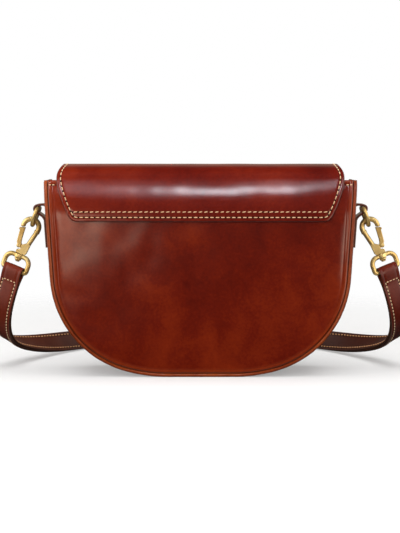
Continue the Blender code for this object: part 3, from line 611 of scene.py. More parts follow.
# Painted shade: near-black discs stand for the shade inside the needle holes
HOLE_SHADE = fibre("needle_hole_shade", (0.003, 0.001, 0.0005), (0.010, 0.003, 0.001), 0.9)
BRASS = metal("aged_brass", (0.55, 0.36, 0.115), (0.73, 0.51, 0.19), (0.87, 0.67, 0.29))
STEEL = metal("spring_steel", (0.25, 0.24, 0.22), (0.45, 0.44, 0.42), (0.60, 0.58, 0.55))


# Thread

# Kinds of stitch: pitch, length, the thread's radius and its look
LONG = (0.00466, 0.0035, 0.00043, THREAD)
TAB = (0.0042, 0.0035, 0.00043, THREAD)
MOUTH = (0.0031, 0.0024, 0.00043, THREAD)
STRAP_OUTSIDE = (0.0032, 0.0024, 0.00043, THREAD)
STRAP_INSIDE = (0.0041, 0.0026, 0.00056, STRAP_THREAD)


def starts_on(path, kind, closed):
    """Where each stitch starts along a line that the stitches fill evenly."""
    pitch, length = kind[:2]
    run = along_run(path)[-1]
    count = max(1, int(round(run / pitch)))
    return np.arange(count) * run / count + (0.0 if closed else (run / count - length) / 2.0)


def short_tubes(name, verts, rings, sides, look):
    """One mesh of separate tubes that all have the same rings."""
    faces = []
    for base in range(0, len(verts), rings * sides):
        faces += tube_faces(rings, sides, base=base)
    return make_object(name, verts, faces, look)


def threads(name, place, path, starts, height, kind, sign, slant):
    """Separate stitches along a line on a surface: each a bowed thread of two plies."""
    _, length, radius, look = kind
    rings, sides = 7, 7
    share = np.linspace(0.0, 1.0, rings)
    flat = on_path(path, starts[:, None] + share * length).reshape(-1, 2)
    spots, normals = surface(place, flat)
    spots = spots.reshape(-1, rings, 3)
    normals = normals.reshape(-1, rings, 3) * sign
    side = unit(np.cross(unit(np.gradient(spots, axis=1)), normals))
    bow = np.sqrt(np.maximum(1.0 - (2.0 * share - 1.0) ** 4, 0.0))
    lift = height - radius * 0.8 + radius * 1.3 * bow
    middle = spots + normals * lift[:, None] + side * ((share - 0.5) * slant)[:, None]
    turn = np.arange(sides) * math.tau / sides
    ply = 1.0 + 0.12 * np.cos(2.0 * (turn[None, :] - 6.0 * share[:, None]))
    size = (0.6 + 0.4 * bow)[:, None] * ply * radius
    out = side[:, :, None, :] * np.cos(turn)[:, None] + normals[:, :, None, :] * np.sin(turn)[:, None] * 0.85
    verts = (middle[:, :, None, :] + out * size[None, :, :, None]).reshape(-1, 3)
    return short_tubes(name, verts, rings, sides, look)


def hole_shade_discs(name, place, path, starts, height, kind, sign):
    """Painted shade: dark discs that stand for the shaded needle holes between the stitches."""
    pitch, length = kind[:2]
    sides = 8
    gap = (float(np.median(np.diff(starts))) if len(starts) > 1 else pitch) - length
    at = np.r_[starts, starts[-1] + length + gap] - gap / 2.0
    spots, normals = surface(place, on_path(path, at))
    normals = normals * sign
    along = unit(place(on_path(path, at + 0.0003)) - place(on_path(path, at - 0.0003)))
    side = unit(np.cross(along, normals))
    turn = np.arange(sides) * math.tau / sides
    out = along[:, None] * np.cos(turn)[:, None] * (gap * HOLE_SHADE_SHARE)
    out = out + side[:, None] * np.sin(turn)[:, None] * HOLE_SHADE_HALF
    layers = [spots[:, None] + normals[:, None] * (height + lift) + out * size for lift, size in HOLE_SHADE_LAYERS]
    return short_tubes(name, np.stack(layers, 1).reshape(-1, 3), len(HOLE_SHADE_LAYERS), sides, HOLE_SHADE)


def sew(name, place, path, height, settle, kind=LONG, sign=1.0, slant=0.0, closed=False, keep=None):
    """A row of stitches and the painted shade of its needle holes; settle is called on each."""
    path = np.asarray(path, float)
    starts = starts_on(path, kind, closed)
    if keep is not None:
        starts = starts[keep(on_path(path, starts + kind[1] / 2.0))]
    settle(threads(name + "_thread", place, path, starts, height, kind, sign, slant))
    settle(hole_shade_discs(name + "_hole_shade", place, path, starts, height, kind, sign))


def dress(item, body, slot_name, *replaced):
    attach(item, body)
    if replaced:
        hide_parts(*replaced)


def rides(body, slot_name):
    """A settle for pieces that replace no solid."""
    def settle(item):
        dress(item, body, slot_name)
    return settle


# Bag body


def belly(x, z):
    """How far the back of the bag swells out, none at its rim."""
    across = 1.0 - np.clip(np.abs(x) / 0.128, 0.0, 1.0) ** 3
    up = np.clip(1.0 - ((z - TOP / 2.0) / (TOP / 2.0)) ** 2, 0.0, 1.0)
    return BELLY * across * up


def back_face(points):
    x, z = points[:, 0], points[:, 1]
    return np.stack([x, -(HALF_DEPTH - PANEL_T / 2.0) * pinch(z) - belly(x, z), z], 1)


def front_face(points):
    x, z = points[:, 0], points[:, 1]
    return np.stack([-x, (HALF_DEPTH - PANEL_T / 2.0) * pinch(z), z], 1)


def panel_relief(seed):
    """A ridge over the seam, a groove beside it and slow waves."""
    def relief(points, distance):
        seam = hump(distance, *SEAM_RIDGE) + hump(distance, *SEAM_GROOVE)
        strength = 0.35 + 0.65 * ease((points[:, 1] - 0.06) / 0.08)
        return seam * strength + waves(points, seed, PANEL_WAVES) * ease(distance / 0.012)
    return relief


def build_panels():
    for name, place, top, seed in (
        ("back_panel", back_face, TOP, 1.0),
        ("front_panel", front_face, TOP - FRONT_DROP, 2.0),
    ):
        line = whole_outline(SEAM_INSET, top, 0.0016)
        line = np.concatenate([line, resample([line[-1], line[0]], 0.0016)[1:-1]])
        cut = flat_cut(line, line, EDGE_ROWS, 0.0030)
        item = plate(name + "_leather", cut, place, PANEL_T, BODY, line, 0.0011, panel_relief(seed))
        dress(item, "bag", "leather_body", name)


def rim_rows(profile, top):
    """Rows round the D, one ring of the profile at each point of the outline."""
    lines = [whole_outline(inset, top, 0.0017) for inset, _ in profile]
    size = min(len(line) for line in lines)
    rows = np.zeros((size, len(profile), 3))
    for n, (line, (_, y)) in enumerate(zip(lines, profile)):
        x, z = read_at(np.linspace(0.0, 1.0, size), np.linspace(0.0, 1.0, len(line)), line.T).T
        rows[:, n] = np.stack([x, y * pinch(z), z], 1)
    return rows


def piping_profile(side):
    """The cord and its sewn tongue: inset and depth."""
    middle = HALF_DEPTH - PIPE_R
    tongue_outer = HALF_DEPTH - PANEL_T - GAP
    rise = math.asin((middle - tongue_outer) / PIPE_R)
    cord = arc((PIPE_R, -middle), PIPE_R, QUARTER, math.tau + rise, 18)
    tongue = [(TONGUE_REACH, -tongue_outer), (TONGUE_REACH, PIPE_R - middle)]
    return np.concatenate([cord, tongue]) * (1.0, -side)


def crumpled(rows):
    """The piping with small dents and rounded ends."""
    heart = rows[:, :-2].mean(1, keepdims=True)
    size = 1.0 + 0.05 * ripple(rows * (1.0, 0.35, 1.0), 420.0, 4.0) + 0.05 * ripple(rows, 90.0, 5.0)
    size[:, -2:] = 1.0
    run = along_run(heart[:, 0])
    left = np.minimum(run, run[-1] - run) / 0.0022
    size *= np.sqrt(1.0 - (1.0 - np.clip(left, 0.03, 1.0)) ** 2)[:, None]
    return heart + (rows - heart) * size[..., None]


def build_rim():
    for side, name, top in ((-1.0, "back_piping", TOP), (1.0, "front_piping", TOP - FRONT_DROP)):
        rows = crumpled(rim_rows(piping_profile(side), top))
        dress(skin(name + "_leather", rows, RIM), "bag", "leather_rim", name)

    edge = HALF_DEPTH - SEAM_INSET
    across = np.linspace(-edge, edge, 25)
    profile = [(0.0, y) for y in across] + [(GUSSET_T, y) for y in reversed(across)]
    rows = rim_rows(profile, TOP)
    outer = rows[:, :len(across)]
    y = outer[..., 1] / edge
    sag = (1.0 - y ** 2) * 0.0004 + ripple(outer, 60.0, 6.0) * 0.00015 * (1.0 - y ** 4)
    inward = unit((np.array([0.0, 0.0, 0.10]) - outer) * (1.0, 0.0, 1.0))
    outer += inward * np.maximum(sag, 0.0)[..., None]
    distance = np.tile([edge - abs(y) + 0.001 for _, y in profile], len(rows))
    dress(skin("gusset_leather", rows, SIDE, distance), "bag", "leather_rim", "gusset")


def build_mouth_rows():
    """The topstitch along the mouth where the flap leaves it bare."""
    outline = half_outline(0.0, TOP)[40:]
    corner = float(np.interp(MOUTH_ROW, outline[:, 1], outline[:, 0])) - SEAM_INSET - 0.0003
    top = PANEL_T / 2.0 - THREAD_SINK
    for word, place, drop in (("back", back_face, 0.0), ("front", front_face, FRONT_DROP)):
        for end, first, last in (("low", -corner, -MOUTH_BARE), ("high", MOUTH_BARE, corner)):
            path = [(first, MOUTH_ROW - drop), (last, MOUTH_ROW - drop)]
            sew("mouth_" + word + "_" + end, place, path, top, rides("bag", "leather_body"), MOUTH)

    half = HALF_DEPTH - SEAM_INSET - 0.0015
    path = resample([(-half, MOUTH_ROW), (half, MOUTH_ROW)], 0.004)
    for side, word in ((-1.0, "left"), (1.0, "right")):
        def place(points, side=side):
            y, z = points[:, 0], points[:, 1]
            return np.stack([side * np.interp(z, outline[:, 1], outline[:, 0]), y * pinch(z), z], 1)

        sew("mouth_end_" + word, place, path, -0.0003, rides("bag", "leather_rim"), sign=side)


def build_lining():
    """The sewn inner bag: an open tub of suede."""
    inset = GUSSET_T + GAP
    edge = HALF_DEPTH - SEAM_INSET - GAP
    top = TOP - FRONT_DROP - LINING_DROP
    outer = half_outline(inset, top, 0.004)[3:]
    inner = half_outline(inset + LINING_T, top, 0.004)[3:]
    size = min(len(outer), len(inner))

    def loop(x, z, deep):
        corners = np.array([(-x, -deep), (x, -deep), (x, deep), (-x, deep), (-x, -deep)])
        share = np.arange(14)[:, None] / 14.0
        flat = np.concatenate([a + (b - a) * share for a, b in zip(corners, corners[1:])])
        return np.stack([flat[:, 0], flat[:, 1] * float(pinch(z)), np.full(len(flat), z)], 1)

    rows = [loop(x, z, edge) for x, z in outer[:size]]
    rows = np.array(rows + [loop(x, z, edge - LINING_T) for x, z in inner[:size][::-1]])
    soft = np.abs(ripple(rows[size:], 45.0, 7.0)) * 0.0006
    rows[size:, :, 1] += np.sign(-rows[size:, :, 1]) * soft
    dress(skin("lining_suede_bag", rows, SUEDE), "bag", "suede_lining", "lining")


build_panels()
build_rim()
build_mouth_rows()
build_lining()


# Flap


def flap_line():
    """The flap's profile from its sewn end to its free end: run, place, normal and half width."""
    back = GAP + FLAP_T / 2.0
    front = GAP + SOCKET_T + GAP + STUD_T + GAP + FLAP_LINING_T + GAP + FLAP_T / 2.0
    stations = []
    for k in range(61):
        z = FLAP_BACK_END + (FLAP_BASE - FLAP_BACK_END) * k / 60.0
        share = (FLAP_BASE - z) / (FLAP_BASE - FLAP_BACK_END)
        below = max(FLAP_BACK_END + FLAP_BACK_CORNER - z, 0.0)
        corner = FLAP_BACK_CORNER - math.sqrt(max(FLAP_BACK_CORNER ** 2 - below ** 2, 0.0))
        half = FLAP_HALF - FLAP_BACK_NARROWING * share ** FLAP_BACK_POWER - corner
        stations.append((-HALF_DEPTH, z, half, back))
    rise = FLAP_TOP - FLAP_T / 2.0 - (back + front) / 2.0 - FLAP_BASE
    for k in range(1, 160):
        angle = math.pi * ease(k / 160.0) * 0.35 + math.pi * k / 160.0 * 0.65
        turn = math.cos(angle)
        across = math.copysign(abs(turn) ** (2.0 / ARCH_POWER), turn)
        height = abs(math.sin(angle)) ** (2.0 / ARCH_POWER)
        half = FLAP_HALF - FLAP_WAIST * math.sin(angle) ** 2
        lift = back + (front - back) * angle / math.pi
        stations.append((-HALF_DEPTH * across, FLAP_BASE + rise * height, half, lift))
    for k in range(101):
        share = FRONT_LAST * math.sin(QUARTER * k / 100.0)
        half = FLAP_HALF * (1.0 - share ** FRONT_POWER) ** (1.0 / FRONT_POWER)
        z = FLAP_BASE - GAP - (FLAP_BASE - GAP - FLAP_FRONT_END) * share
        stations.append((HALF_DEPTH, z, half, front))
    y, z, half, lift = np.array(stations).T
    run = along_run(np.stack([y * pinch(z), z], 1))
    smooth = read_at(np.linspace(0.0, run[-1], 700), run, (y * pinch(z), z, half, lift))
    kernel = np.hanning(15) / np.hanning(15).sum()
    for k in (0, 1, 3):
        column = smooth[:, k]
        padded = np.r_[2 * column[0] - column[7:0:-1], column, 2 * column[-1] - column[-2:-9:-1]]
        smooth[:, k] = np.convolve(padded, kernel, "valid")
    ahead = unit(np.gradient(smooth[:, :2], axis=0))
    normal = np.stack([-ahead[:, 1], ahead[:, 0]], 1)
    middle = smooth[:, :2] + normal * smooth[:, 3:]
    return along_run(middle), middle, normal, smooth[:, 2]


FLAP_RUN, FLAP_MIDDLE, FLAP_NORMAL, FLAP_WIDTH = flap_line()


def flap_place(lift=0.0):
    """The flap's surface over the flat flap: across and along."""
    def place(points):
        x, v = points[:, 0], points[:, 1]
        y, z, ny, nz = read_at(v, FLAP_RUN, (*FLAP_MIDDLE.T, *FLAP_NORMAL.T)).T
        size = np.hypot(ny, nz)
        beyond = v - np.clip(v, FLAP_RUN[0], FLAP_RUN[-1])
        y = y + ny / size * lift
        z = z + nz / size * lift + np.where(v < 0.1, beyond, -beyond)
        return np.stack([x, y - belly(x, z) * (y < 0.0), z], 1)
    return place


FLAT_FLAP = np.stack([FLAP_WIDTH, FLAP_RUN], 1)
FLAP_LINE = resample(closed_up(np.concatenate([FLAT_FLAP, FLAT_FLAP[::-1] * (-1.0, 1.0)])), 0.0015)[:-1]
EDGE_PATH = closed_up(moved_in(FLAP_LINE, EDGE_ROW, 0.0012))
MOUTH_BACK = float(np.interp(FLAP_BASE, FLAP_MIDDLE[:300, 1], FLAP_RUN[:300]))
MOUTH_FRONT = FLAP_RUN[-1] - (FLAP_BASE - FLAP_FRONT_END) * FRONT_LAST
CREST = FLAP_RUN[int(np.argmax(FLAP_MIDDLE[:, 1]))]
SPLITS = ((MOUTH_BACK + CREST) / 2.0, (CREST + MOUTH_FRONT) / 2.0)


def flap_border(low, high, line):
    """The part of the flap's outline between two lines across it."""
    right = line[line[:, 0] > 0.0]
    right = right[np.argsort(right[:, 1])]

    def row(v):
        reach = np.array([0.0, *EDGE_ROWS])
        half = float(np.interp(v, right[:, 1], right[:, 0]))
        inner = resample([(-half + 0.0075, 0.0), (half - 0.0075, 0.0)], 0.003)[:, 0]
        xs = np.concatenate([-half + reach, inner, (half - reach)[::-1]])
        return np.stack([xs, np.full(len(xs), v)], 1)

    if low is None or high is None:
        split = high if low is None else low
        toward = -1.0 if low is None else 1.0
        part = line[(line[:, 1] - split) * toward > SPLIT_MARGIN]
        opening = np.argmax(np.linalg.norm(part - np.roll(part, -1, 0), axis=1))
        part = np.roll(part, -(opening + 1), 0)
        return np.concatenate([part, row(split) if part[-1, 0] < 0 else row(split)[::-1]])
    left = line[line[:, 0] <= 0.0]
    left = left[np.argsort(-left[:, 1])]
    rising, falling = (
        side[(side[:, 1] > low + SPLIT_MARGIN) & (side[:, 1] < high - SPLIT_MARGIN)] for side in (right, left)
    )
    return np.concatenate([row(low), rising, row(high)[::-1], falling])


def flap_relief(points, distance):
    """Slow waves, and a shallow groove under each row of stitches."""
    x, v = points[:, 0], points[:, 1]
    band = hump(v, *BAND_GROOVE) * (np.abs(x) < FLAP_HALF) * (v < 0.02)
    return waves(points, 8.0, FLAP_WAVES) * ease(distance / 0.01) + hump(distance, *EDGE_GROOVE) + band


# Each part of the flap: its splits, the names of two bodies, where it bends, the solids that it replaces
FLAP_PARTS = (
    ("back", None, SPLITS[0], "bag", "flap_rear", MOUTH_BACK,
     ("flap_back_band", "flap_bridge_back"), ("flap_bridge_back_lining",)),
    ("top", *SPLITS, "flap_rear", "flap_fore", CREST, ("flap_bridge_front",), ("flap_bridge_front_lining",)),
    ("front", SPLITS[1], None, "flap_fore", "flap_hanging", MOUTH_FRONT,
     ("flap_front",), ("flap_front_lining",)),
)
LINED = moved_in(FLAP_LINE, FLAP_LINING_MARGIN, 0.0016)
LINED = resample(closed_up(LINED[LINED[:, 1] > MOUTH_BACK]), 0.0016)[:-1]


def build_flap_part(word, low, high, first, second, bend, replaced, linings):
    over = flap_place()
    start, end = over(np.array([[0.0, bend - BEND_REACH], [0.0, bend + BEND_REACH]]))
    splits = [split for split in (low, high) if split is not None]

    def settle(item, slot_name="leather_flap", nodes=()):
        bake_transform(item)
        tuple(start)
        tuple(end)
        if nodes:
            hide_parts(*nodes)

    def here(flat):
        return (flat[:, 1] >= (-1.0 if low is None else low)) & (flat[:, 1] < (1.0 if high is None else high))

    def lined(flat):
        return here(flat) & (flat[:, 1] > MOUTH_BACK)

    cut = flat_cut(flap_border(low, high, FLAP_LINE), FLAP_LINE, EDGE_ROWS, 0.0028)
    item = plate("flap_leather_" + word, cut, over, FLAP_T, FLAP, FLAP_LINE, 0.0007, flap_relief, splits)
    settle(item, nodes=replaced)
    under = flap_place(-(FLAP_T + FLAP_LINING_T) / 2.0 - GAP)
    cut = flat_cut(flap_border(low, high, LINED), LINED, (0.0004, 0.001, 0.002), 0.004)
    item = plate("flap_lining_" + word, cut, under, FLAP_LINING_T, SUEDE, LINED, 0.0004, splits=splits)
    settle(item, "suede_lining", linings)

    top = FLAP_T / 2.0 - FLAP_THREAD_SINK
    sew("flap_edge_" + word, over, EDGE_PATH, top, settle, closed=True, keep=here)
    if word == "back":
        half = float(np.interp(BAND_ROW, FLAP_RUN, FLAP_WIDTH)) - EDGE_ROW - BAND_END
        sew("flap_band", over, [(-half, BAND_ROW), (half, BAND_ROW)], top, settle, slant=BAND_SLANT)
    else:
        base = FLAP_T / 2.0 + GAP + FLAP_LINING_T
        sew("flap_inside_" + word, over, EDGE_PATH, base, settle, sign=-1.0, closed=True, keep=lined)


for part in FLAP_PARTS:
    build_flap_part(*part)


# Strap


def bell(place, angle, middle, reach):
    """A bend of the given angle, spread softly round its middle."""
    share = (place - middle) / reach
    return 0.0 if abs(share) >= 1.0 else angle * ((1.0 + math.cos(math.pi * share)) / (2.0 * reach))


def tab_axes():
    """Where the right tab starts on the gusset, and its directions out and up."""
    x, z = half_outline(0.0, TOP)[-1]
    origin = np.array((x + (TAB_TOP - z) * math.tan(SIDE_LEAN), 0.0, TAB_TOP))
    out = np.array((math.cos(SIDE_LEAN), 0.0, -math.sin(SIDE_LEAN)))
    return origin, out, np.array((math.sin(SIDE_LEAN), 0.0, math.cos(SIDE_LEAN)))


TAB_ORIGIN, TAB_OUT, TAB_UP = tab_axes()
RING_BAR = TAB_ORIGIN + TAB_OUT * RING_OUT - TAB_UP * RING_DROP
HOOK_UP = np.array((-math.sin(HANG), 0.0, math.cos(HANG)))
HOOK_ACROSS = np.array((-math.cos(HANG), 0.0, -math.sin(HANG)))
HOOK_BASE = RING_BAR + (HOOK_OUT, 0.0, -HOOK_DROP)
SWIVEL = Matrix.Rotation(EYE_SWIVEL, 3, Vector(HOOK_UP))


def strap_frames(steps=480):
    """Point, along, out and up from the middle of the strap to the right eye."""
    along, out, up = Vector((1.0, 0.0, 0.0)), Vector((0.0, 1.0, 0.0)), Vector((0.0, 0.0, 1.0))
    point = Vector((0.0, 0.0, STRAP_W / 2.0))
    frames = [(point, along, out, up)]
    for k in range(steps):
        place = (k + 0.5) / steps
        bend = STRAP_SWEEP + bell(place, *STRAP_TURN) + bell(place, *STRAP_LIFT)
        turn = (up * -bend + along * -bell(place, *STRAP_TWIST)) / steps
        half = Matrix.Rotation(turn.length / 2.0, 3, turn.normalized())
        whole = Matrix.Rotation(turn.length, 3, turn.normalized())
        point = point + (half @ along) * STRAP_HALF_LENGTH / steps
        along, out, up = whole @ along, whole @ out, whole @ up
        frames.append((point, along, out, up))
    miss = Vector(HOOK_BASE + HOOK_UP * EYE_BAR) - point
    wanted = Matrix((HOOK_UP, SWIVEL @ Vector(-Y_AXIS), SWIVEL @ Vector(-HOOK_ACROSS))).transposed()
    lean = (wanted @ Matrix((along, out, up))).to_quaternion()
    closed = []
    for k, (place, *axes) in enumerate(frames):
        share = (k / steps) ** 3
        turn = Quaternion().slerp(lean, share)
        place = place + Vector((miss.x * share, miss.y, miss.z * share))
        closed.append((place, *(turn @ axis for axis in axes)))
    return [np.array([tuple(entry[n]) for entry in closed]) for n in range(4)]


def strap_layers():
    """Middle lines of the two layers, from the left end to the right one: points, normals, across."""
    point, along, out, up = strap_frames()
    place = np.linspace(0.0, 1.0, len(point))
    flat = (STRAP_T + GAP) / 2.0
    wrap = EYE_WIRE_R + GAP + STRAP_T / 2.0
    offset = flat + (wrap - flat) * ease(1.0 - (1.0 - place) * STRAP_HALF_LENGTH / STRAP_FLARE)
    outer_line = [point + out * offset[:, None], out, up]
    inner_line = [point - out * offset[:, None], -out, up]
    turn = np.linspace(0.0, math.pi, 17)[1:-1, None]
    spoke = out[-1] * np.cos(turn) + along[-1] * np.sin(turn)
    bend = [point[-1] + spoke * wrap, spoke, np.tile(up[-1], (len(turn), 1))]
    tail = place >= 1.0 - STRAP_TAIL / STRAP_HALF_LENGTH
    back = [column[tail][::-1] for column in inner_line]
    outer = [np.concatenate(parts) for parts in zip(outer_line, bend, back)]
    inner = [column[~tail] for column in inner_line]
    flip = (-1.0, 1.0, 1.0)
    return [[np.concatenate([(c * flip)[:0:-1], c]) for c in columns] for columns in (outer, inner)]


def strap_relief(x, distance):
    return STRAP_SWELL * (1.0 - (x / (STRAP_W / 2.0)) ** 2) + hump(distance, *STRAP_GROOVE)


def build_strap_layer(name, columns, look, sewing):
    """One layer of the strap, and the rows of stitches that sewing(length) lists for it."""
    run = along_run(columns[0])
    at = np.linspace(0.0, run[-1], int(run[-1] / 0.0016))
    line, upright, side = (read_at(at, run, column.T) for column in columns)
    side = unit(side)
    upright = unit(upright - (upright * side).sum(1, keepdims=True) * side)
    item = ribbon(name + "_leather", line, side, upright, STRAP_W / 2.0, STRAP_T, look, strap_relief)
    dress(item, "strap", "leather_strap", name)

    def place(flat):
        return read_at(flat[:, 1], at, line.T) + unit(read_at(flat[:, 1], at, side.T)) * flat[:, :1]

    top = STRAP_T / 2.0 - THREAD_SINK
    for word, corners, kind, sign, closed in sewing(at[-1]):
        path = resample(corners, 0.002)
        sew(name + word, place, path, top, rides("strap", "leather_strap"), kind, sign, closed=closed)


def outer_rows(length):
    """A long box between the two folds, and a box without its short end on each tail."""
    row = STRAP_W / 2.0 - STRAP_ROW
    fold = STRAP_TAIL + math.pi * (EYE_WIRE_R + GAP + STRAP_T / 2.0)
    low, high = fold + STRAP_BOX, length - fold - STRAP_BOX
    loop = [(row, low), (row, high), (-row, high), (-row, low), (row, low)]
    low, high = STRAP_END, STRAP_TAIL - STRAP_BOX
    left = [(row, low), (row, high), (-row, high), (-row, low)]
    right = [(x, length - v) for x, v in left]
    return (
        ("_rows", loop, STRAP_OUTSIDE, 1.0, True),
        ("_tail_left", left, STRAP_OUTSIDE, 1.0, False),
        ("_tail_right", right, STRAP_OUTSIDE, 1.0, False),
    )


def inner_rows(length):
    row = STRAP_W / 2.0 - STRAP_ROW
    return [
        ("_row_" + word, [(x, 0.001), (x, length - 0.001)], STRAP_INSIDE, -1.0, False)
        for word, x in (("low", -row), ("high", row))
    ]


OUTER_LINE, INNER_LINE = strap_layers()
build_strap_layer("strap_outer", OUTER_LINE, STRAP, outer_rows)
build_strap_layer("strap_inner", INNER_LINE, INNER, inner_rows)


# Tabs, sewn to the gusset round each ring


def tab_line():
    """The middle of the folded strip: out from the gusset and up from the tab's top."""
    inner = GAP + TAB_T / 2.0
    outer = inner + TAB_T + GAP
    bend = arc((inner + TAB_BEND_R, -TAB_T / 2.0 - TAB_BEND_R), TAB_BEND_R, math.pi, QUARTER, 9)
    loop = arc((RING_OUT, -RING_DROP), RING_WIRE_R + GAP + TAB_T / 2.0, QUARTER, math.radians(-50.0), 23)
    x, height = loop[-1]
    slope = math.tan(math.radians(40.0))
    steps = ((outer + TAB_T, 0.0), (outer + TAB_T / 4.0, -TAB_T / 2.0), (outer, -TAB_T))
    foot = [(near, height - (x - near) * slope + extra) for near, extra in steps]
    return np.concatenate([[(inner, -TAB_LENGTH)], bend, loop, foot, [(outer, -TAB_LENGTH)]])


def build_tabs():
    flat = resample(tab_line(), 0.0009)
    line = TAB_ORIGIN + TAB_OUT * flat[:, :1] + TAB_UP * flat[:, 1:]
    across = np.tile(Y_AXIS, (len(line), 1))
    upright = unit(np.cross(unit(np.gradient(line, axis=0)), across))
    run = along_run(line)
    row = TAB_W / 2.0 - TAB_ROW
    low, high = run[-1] - TAB_LENGTH + TAB_BOX, run[-1] - TAB_ROW
    path = resample([(row, low), (row, high), (-row, high), (-row, low), (row, low)], 0.001)
    for side, word in ((-1.0, "left"), (1.0, "right")):
        flip = (side, 1.0, 1.0)
        name = "ring_tab_" + word
        item = ribbon(name + "_leather", line * flip, across, upright * flip, TAB_W / 2.0, TAB_T, SIDE)
        dress(item, "bag", "leather_rim", name)

        def place(points, middle=line * flip):
            return read_at(points[:, 1], run, middle.T) + points[:, :1] * Y_AXIS

        top = TAB_T / 2.0 - THREAD_SINK
        sew(name + "_stitches", place, path, top, rides("bag", "leather_rim"), TAB, side, closed=True)


build_tabs()


# Brass

# Outlines of the hook's base and tongue, in thousandths of a metre across and up from its foot
BASE_POINTS = (
    (-3.2, -0.4), (4.6, -0.4), (5.5, 0.5), (6.4, 8.9), (6.3, 9.7), (2.9, 9.9), (1.4, 8.9), (-0.9, 7.4),
    (-0.9, 3.1), (-3.9, 2.7), (-3.9, 0.3),
)
TONGUE_POINTS = ((-0.5, 4.4), (-0.5, 7.8), (-3.2, 7.8), (-4.5, 7.1), (-4.9, 6.1), (-4.5, 5.1), (-3.2, 4.4))


def rod(points, radii, plane_normal, closed, sides=20):
    """A round bar along points that lie in one plane: its points and faces."""
    radii = np.broadcast_to(radii, len(points))
    ahead = np.roll(points, -1, 0) - np.roll(points, 1, 0) if closed else np.gradient(points, axis=0)
    side = np.cross(unit(ahead), plane_normal)
    turn = np.arange(sides) * math.tau / sides
    ring = side[:, None] * np.cos(turn)[:, None] + plane_normal * np.sin(turn)[:, None]
    verts = (points[:, None] + ring * radii[:, None, None]).reshape(-1, 3)
    return verts, tube_faces(len(points), sides, closed)


def lathe(profile, sides=36, closed=False):
    """A round solid from (radius, height) on the hook's post; a closed profile makes a ring."""
    turn = np.arange(sides) * math.tau / sides
    spoke = HOOK_ACROSS * np.cos(turn)[:, None] + Y_AXIS * np.sin(turn)[:, None]
    verts = np.concatenate([HOOK_BASE + HOOK_UP * high + spoke * radius for radius, high in profile])
    return verts, tube_faces(len(profile), sides, closed)


def hook_point(pairs, y=0.0):
    """Points of the hook's plane from pairs across and up."""
    pairs = np.asarray(pairs, float)
    return HOOK_BASE + Y_AXIS * y + pairs[:, :1] * HOOK_ACROSS + pairs[:, 1:] * HOOK_UP


def rounded_slab(outline, half, radius):
    """A flat piece in the hook's plane with rounded rims: its points and faces."""
    shape = bmesh.new()
    face = shape.faces.new([shape.verts.new(point) for point in hook_point(outline, -half)])
    grown = bmesh.ops.extrude_face_region(shape, geom=[face])["geom"]
    moved = [v for v in grown if isinstance(v, bmesh.types.BMVert)]
    bmesh.ops.translate(shape, verts=moved, vec=(0.0, half + half, 0.0))
    bmesh.ops.recalc_face_normals(shape, faces=shape.faces)
    rims = list(shape.edges)
    bmesh.ops.bevel(
        shape, geom=rims, offset=radius, segments=4, profile=0.5, affect="EDGES", clamp_overlap=True
    )
    shape.verts.index_update()
    verts = np.array([tuple(v.co) for v in shape.verts])
    faces = [tuple(v.index for v in face.verts) for face in shape.faces]
    shape.free()
    return verts, faces


def brass_piece(name, side, shells, body, turned=None):
    """One piece of several closed shells, mirrored for the left side."""
    verts, faces, count = [], [], 0
    for points, own in shells:
        verts.append(points)
        faces += [tuple(k + count for k in face) for face in own]
        count += len(points)
    verts = np.concatenate(verts)
    if turned is not None:
        verts = HOOK_BASE + (verts - HOOK_BASE) @ np.array(turned).T
    item = make_object(name + "_brass", verts * (side, 1.0, 1.0), faces, BRASS)
    item.modifiers.new("even", "WEIGHTED_NORMAL").keep_sharp = True
    dress(item, body, "antique_brass", name)


def bent(first, corner, last, steps):
    """A smooth bend from the first point to the last one, drawn towards the corner."""
    share = np.linspace(0.0, 1.0, steps + 1)[:, None]
    return (1 - share) ** 2 * first + 2 * share * (1 - share) * corner + share ** 2 * last


def eased(points, radius):
    """The closed outline with each corner rounded off."""
    made = []
    for k, corner in enumerate(points):
        before, after = points[k - 1] - corner, points[(k + 1) % len(points)] - corner
        reach = min(radius, np.linalg.norm(before) * 0.45, np.linalg.norm(after) * 0.45)
        made.append(bent(corner + unit(before) * reach, corner, corner + unit(after) * reach, 4))
    return np.concatenate(made)


def arm_shell():
    """The hook's arm, its collar, bow and nose in one round bar."""
    bow = arc(BOW_CENTRE, BOW_R, -BOW_TURN, math.pi + BOW_TURN, 48)
    foot, knee, first = np.array(ARM_FOOT), np.array(ARM_KNEE), bow[0]
    length = np.linalg.norm(first - knee)
    start = foot + (knee - foot) * 0.6
    shaft = [foot, *bent(start, knee, knee + (first - knee) * 0.25, 5)]
    radii = [HOOK_ARM_R] * len(shaft)
    for left, radius, swell in (
        (COLLAR_T + 0.00042, HOOK_ARM_R, 0.0), (COLLAR_T + 0.0003, HOOK_ARM_R, 0.4),
        (COLLAR_T + 0.00015, HOOK_ARM_R, 0.8), (COLLAR_T, HOOK_ARM_R, 1.0),
        (0.0003, HOOK_WIRE_R, 1.0), (0.00015, HOOK_WIRE_R, 0.8), (0.0, HOOK_WIRE_R, 0.2),
    ):
        shaft.append(first + (knee - first) * left / length)
        radii.append(radius + (COLLAR_R - radius) * swell)
    nose = ease((np.linspace(0.0, 1.0, len(bow)) - 1.0) / 0.4 + 1.0)
    points = np.concatenate([shaft, bow[1:]])
    radii = np.r_[radii, HOOK_WIRE_R + (HOOK_NOSE_R - HOOK_WIRE_R) * nose[1:]]
    left = np.linalg.norm(points - points[-1], axis=1) / NOSE_ROUND
    closing = np.sqrt(np.clip(1.0 - (1.0 - left) ** 2 * 0.7, 0.1, 1.0))
    return rod(hook_point(points), np.where(left < 1.0, radii * closing, radii), Y_AXIS, False)


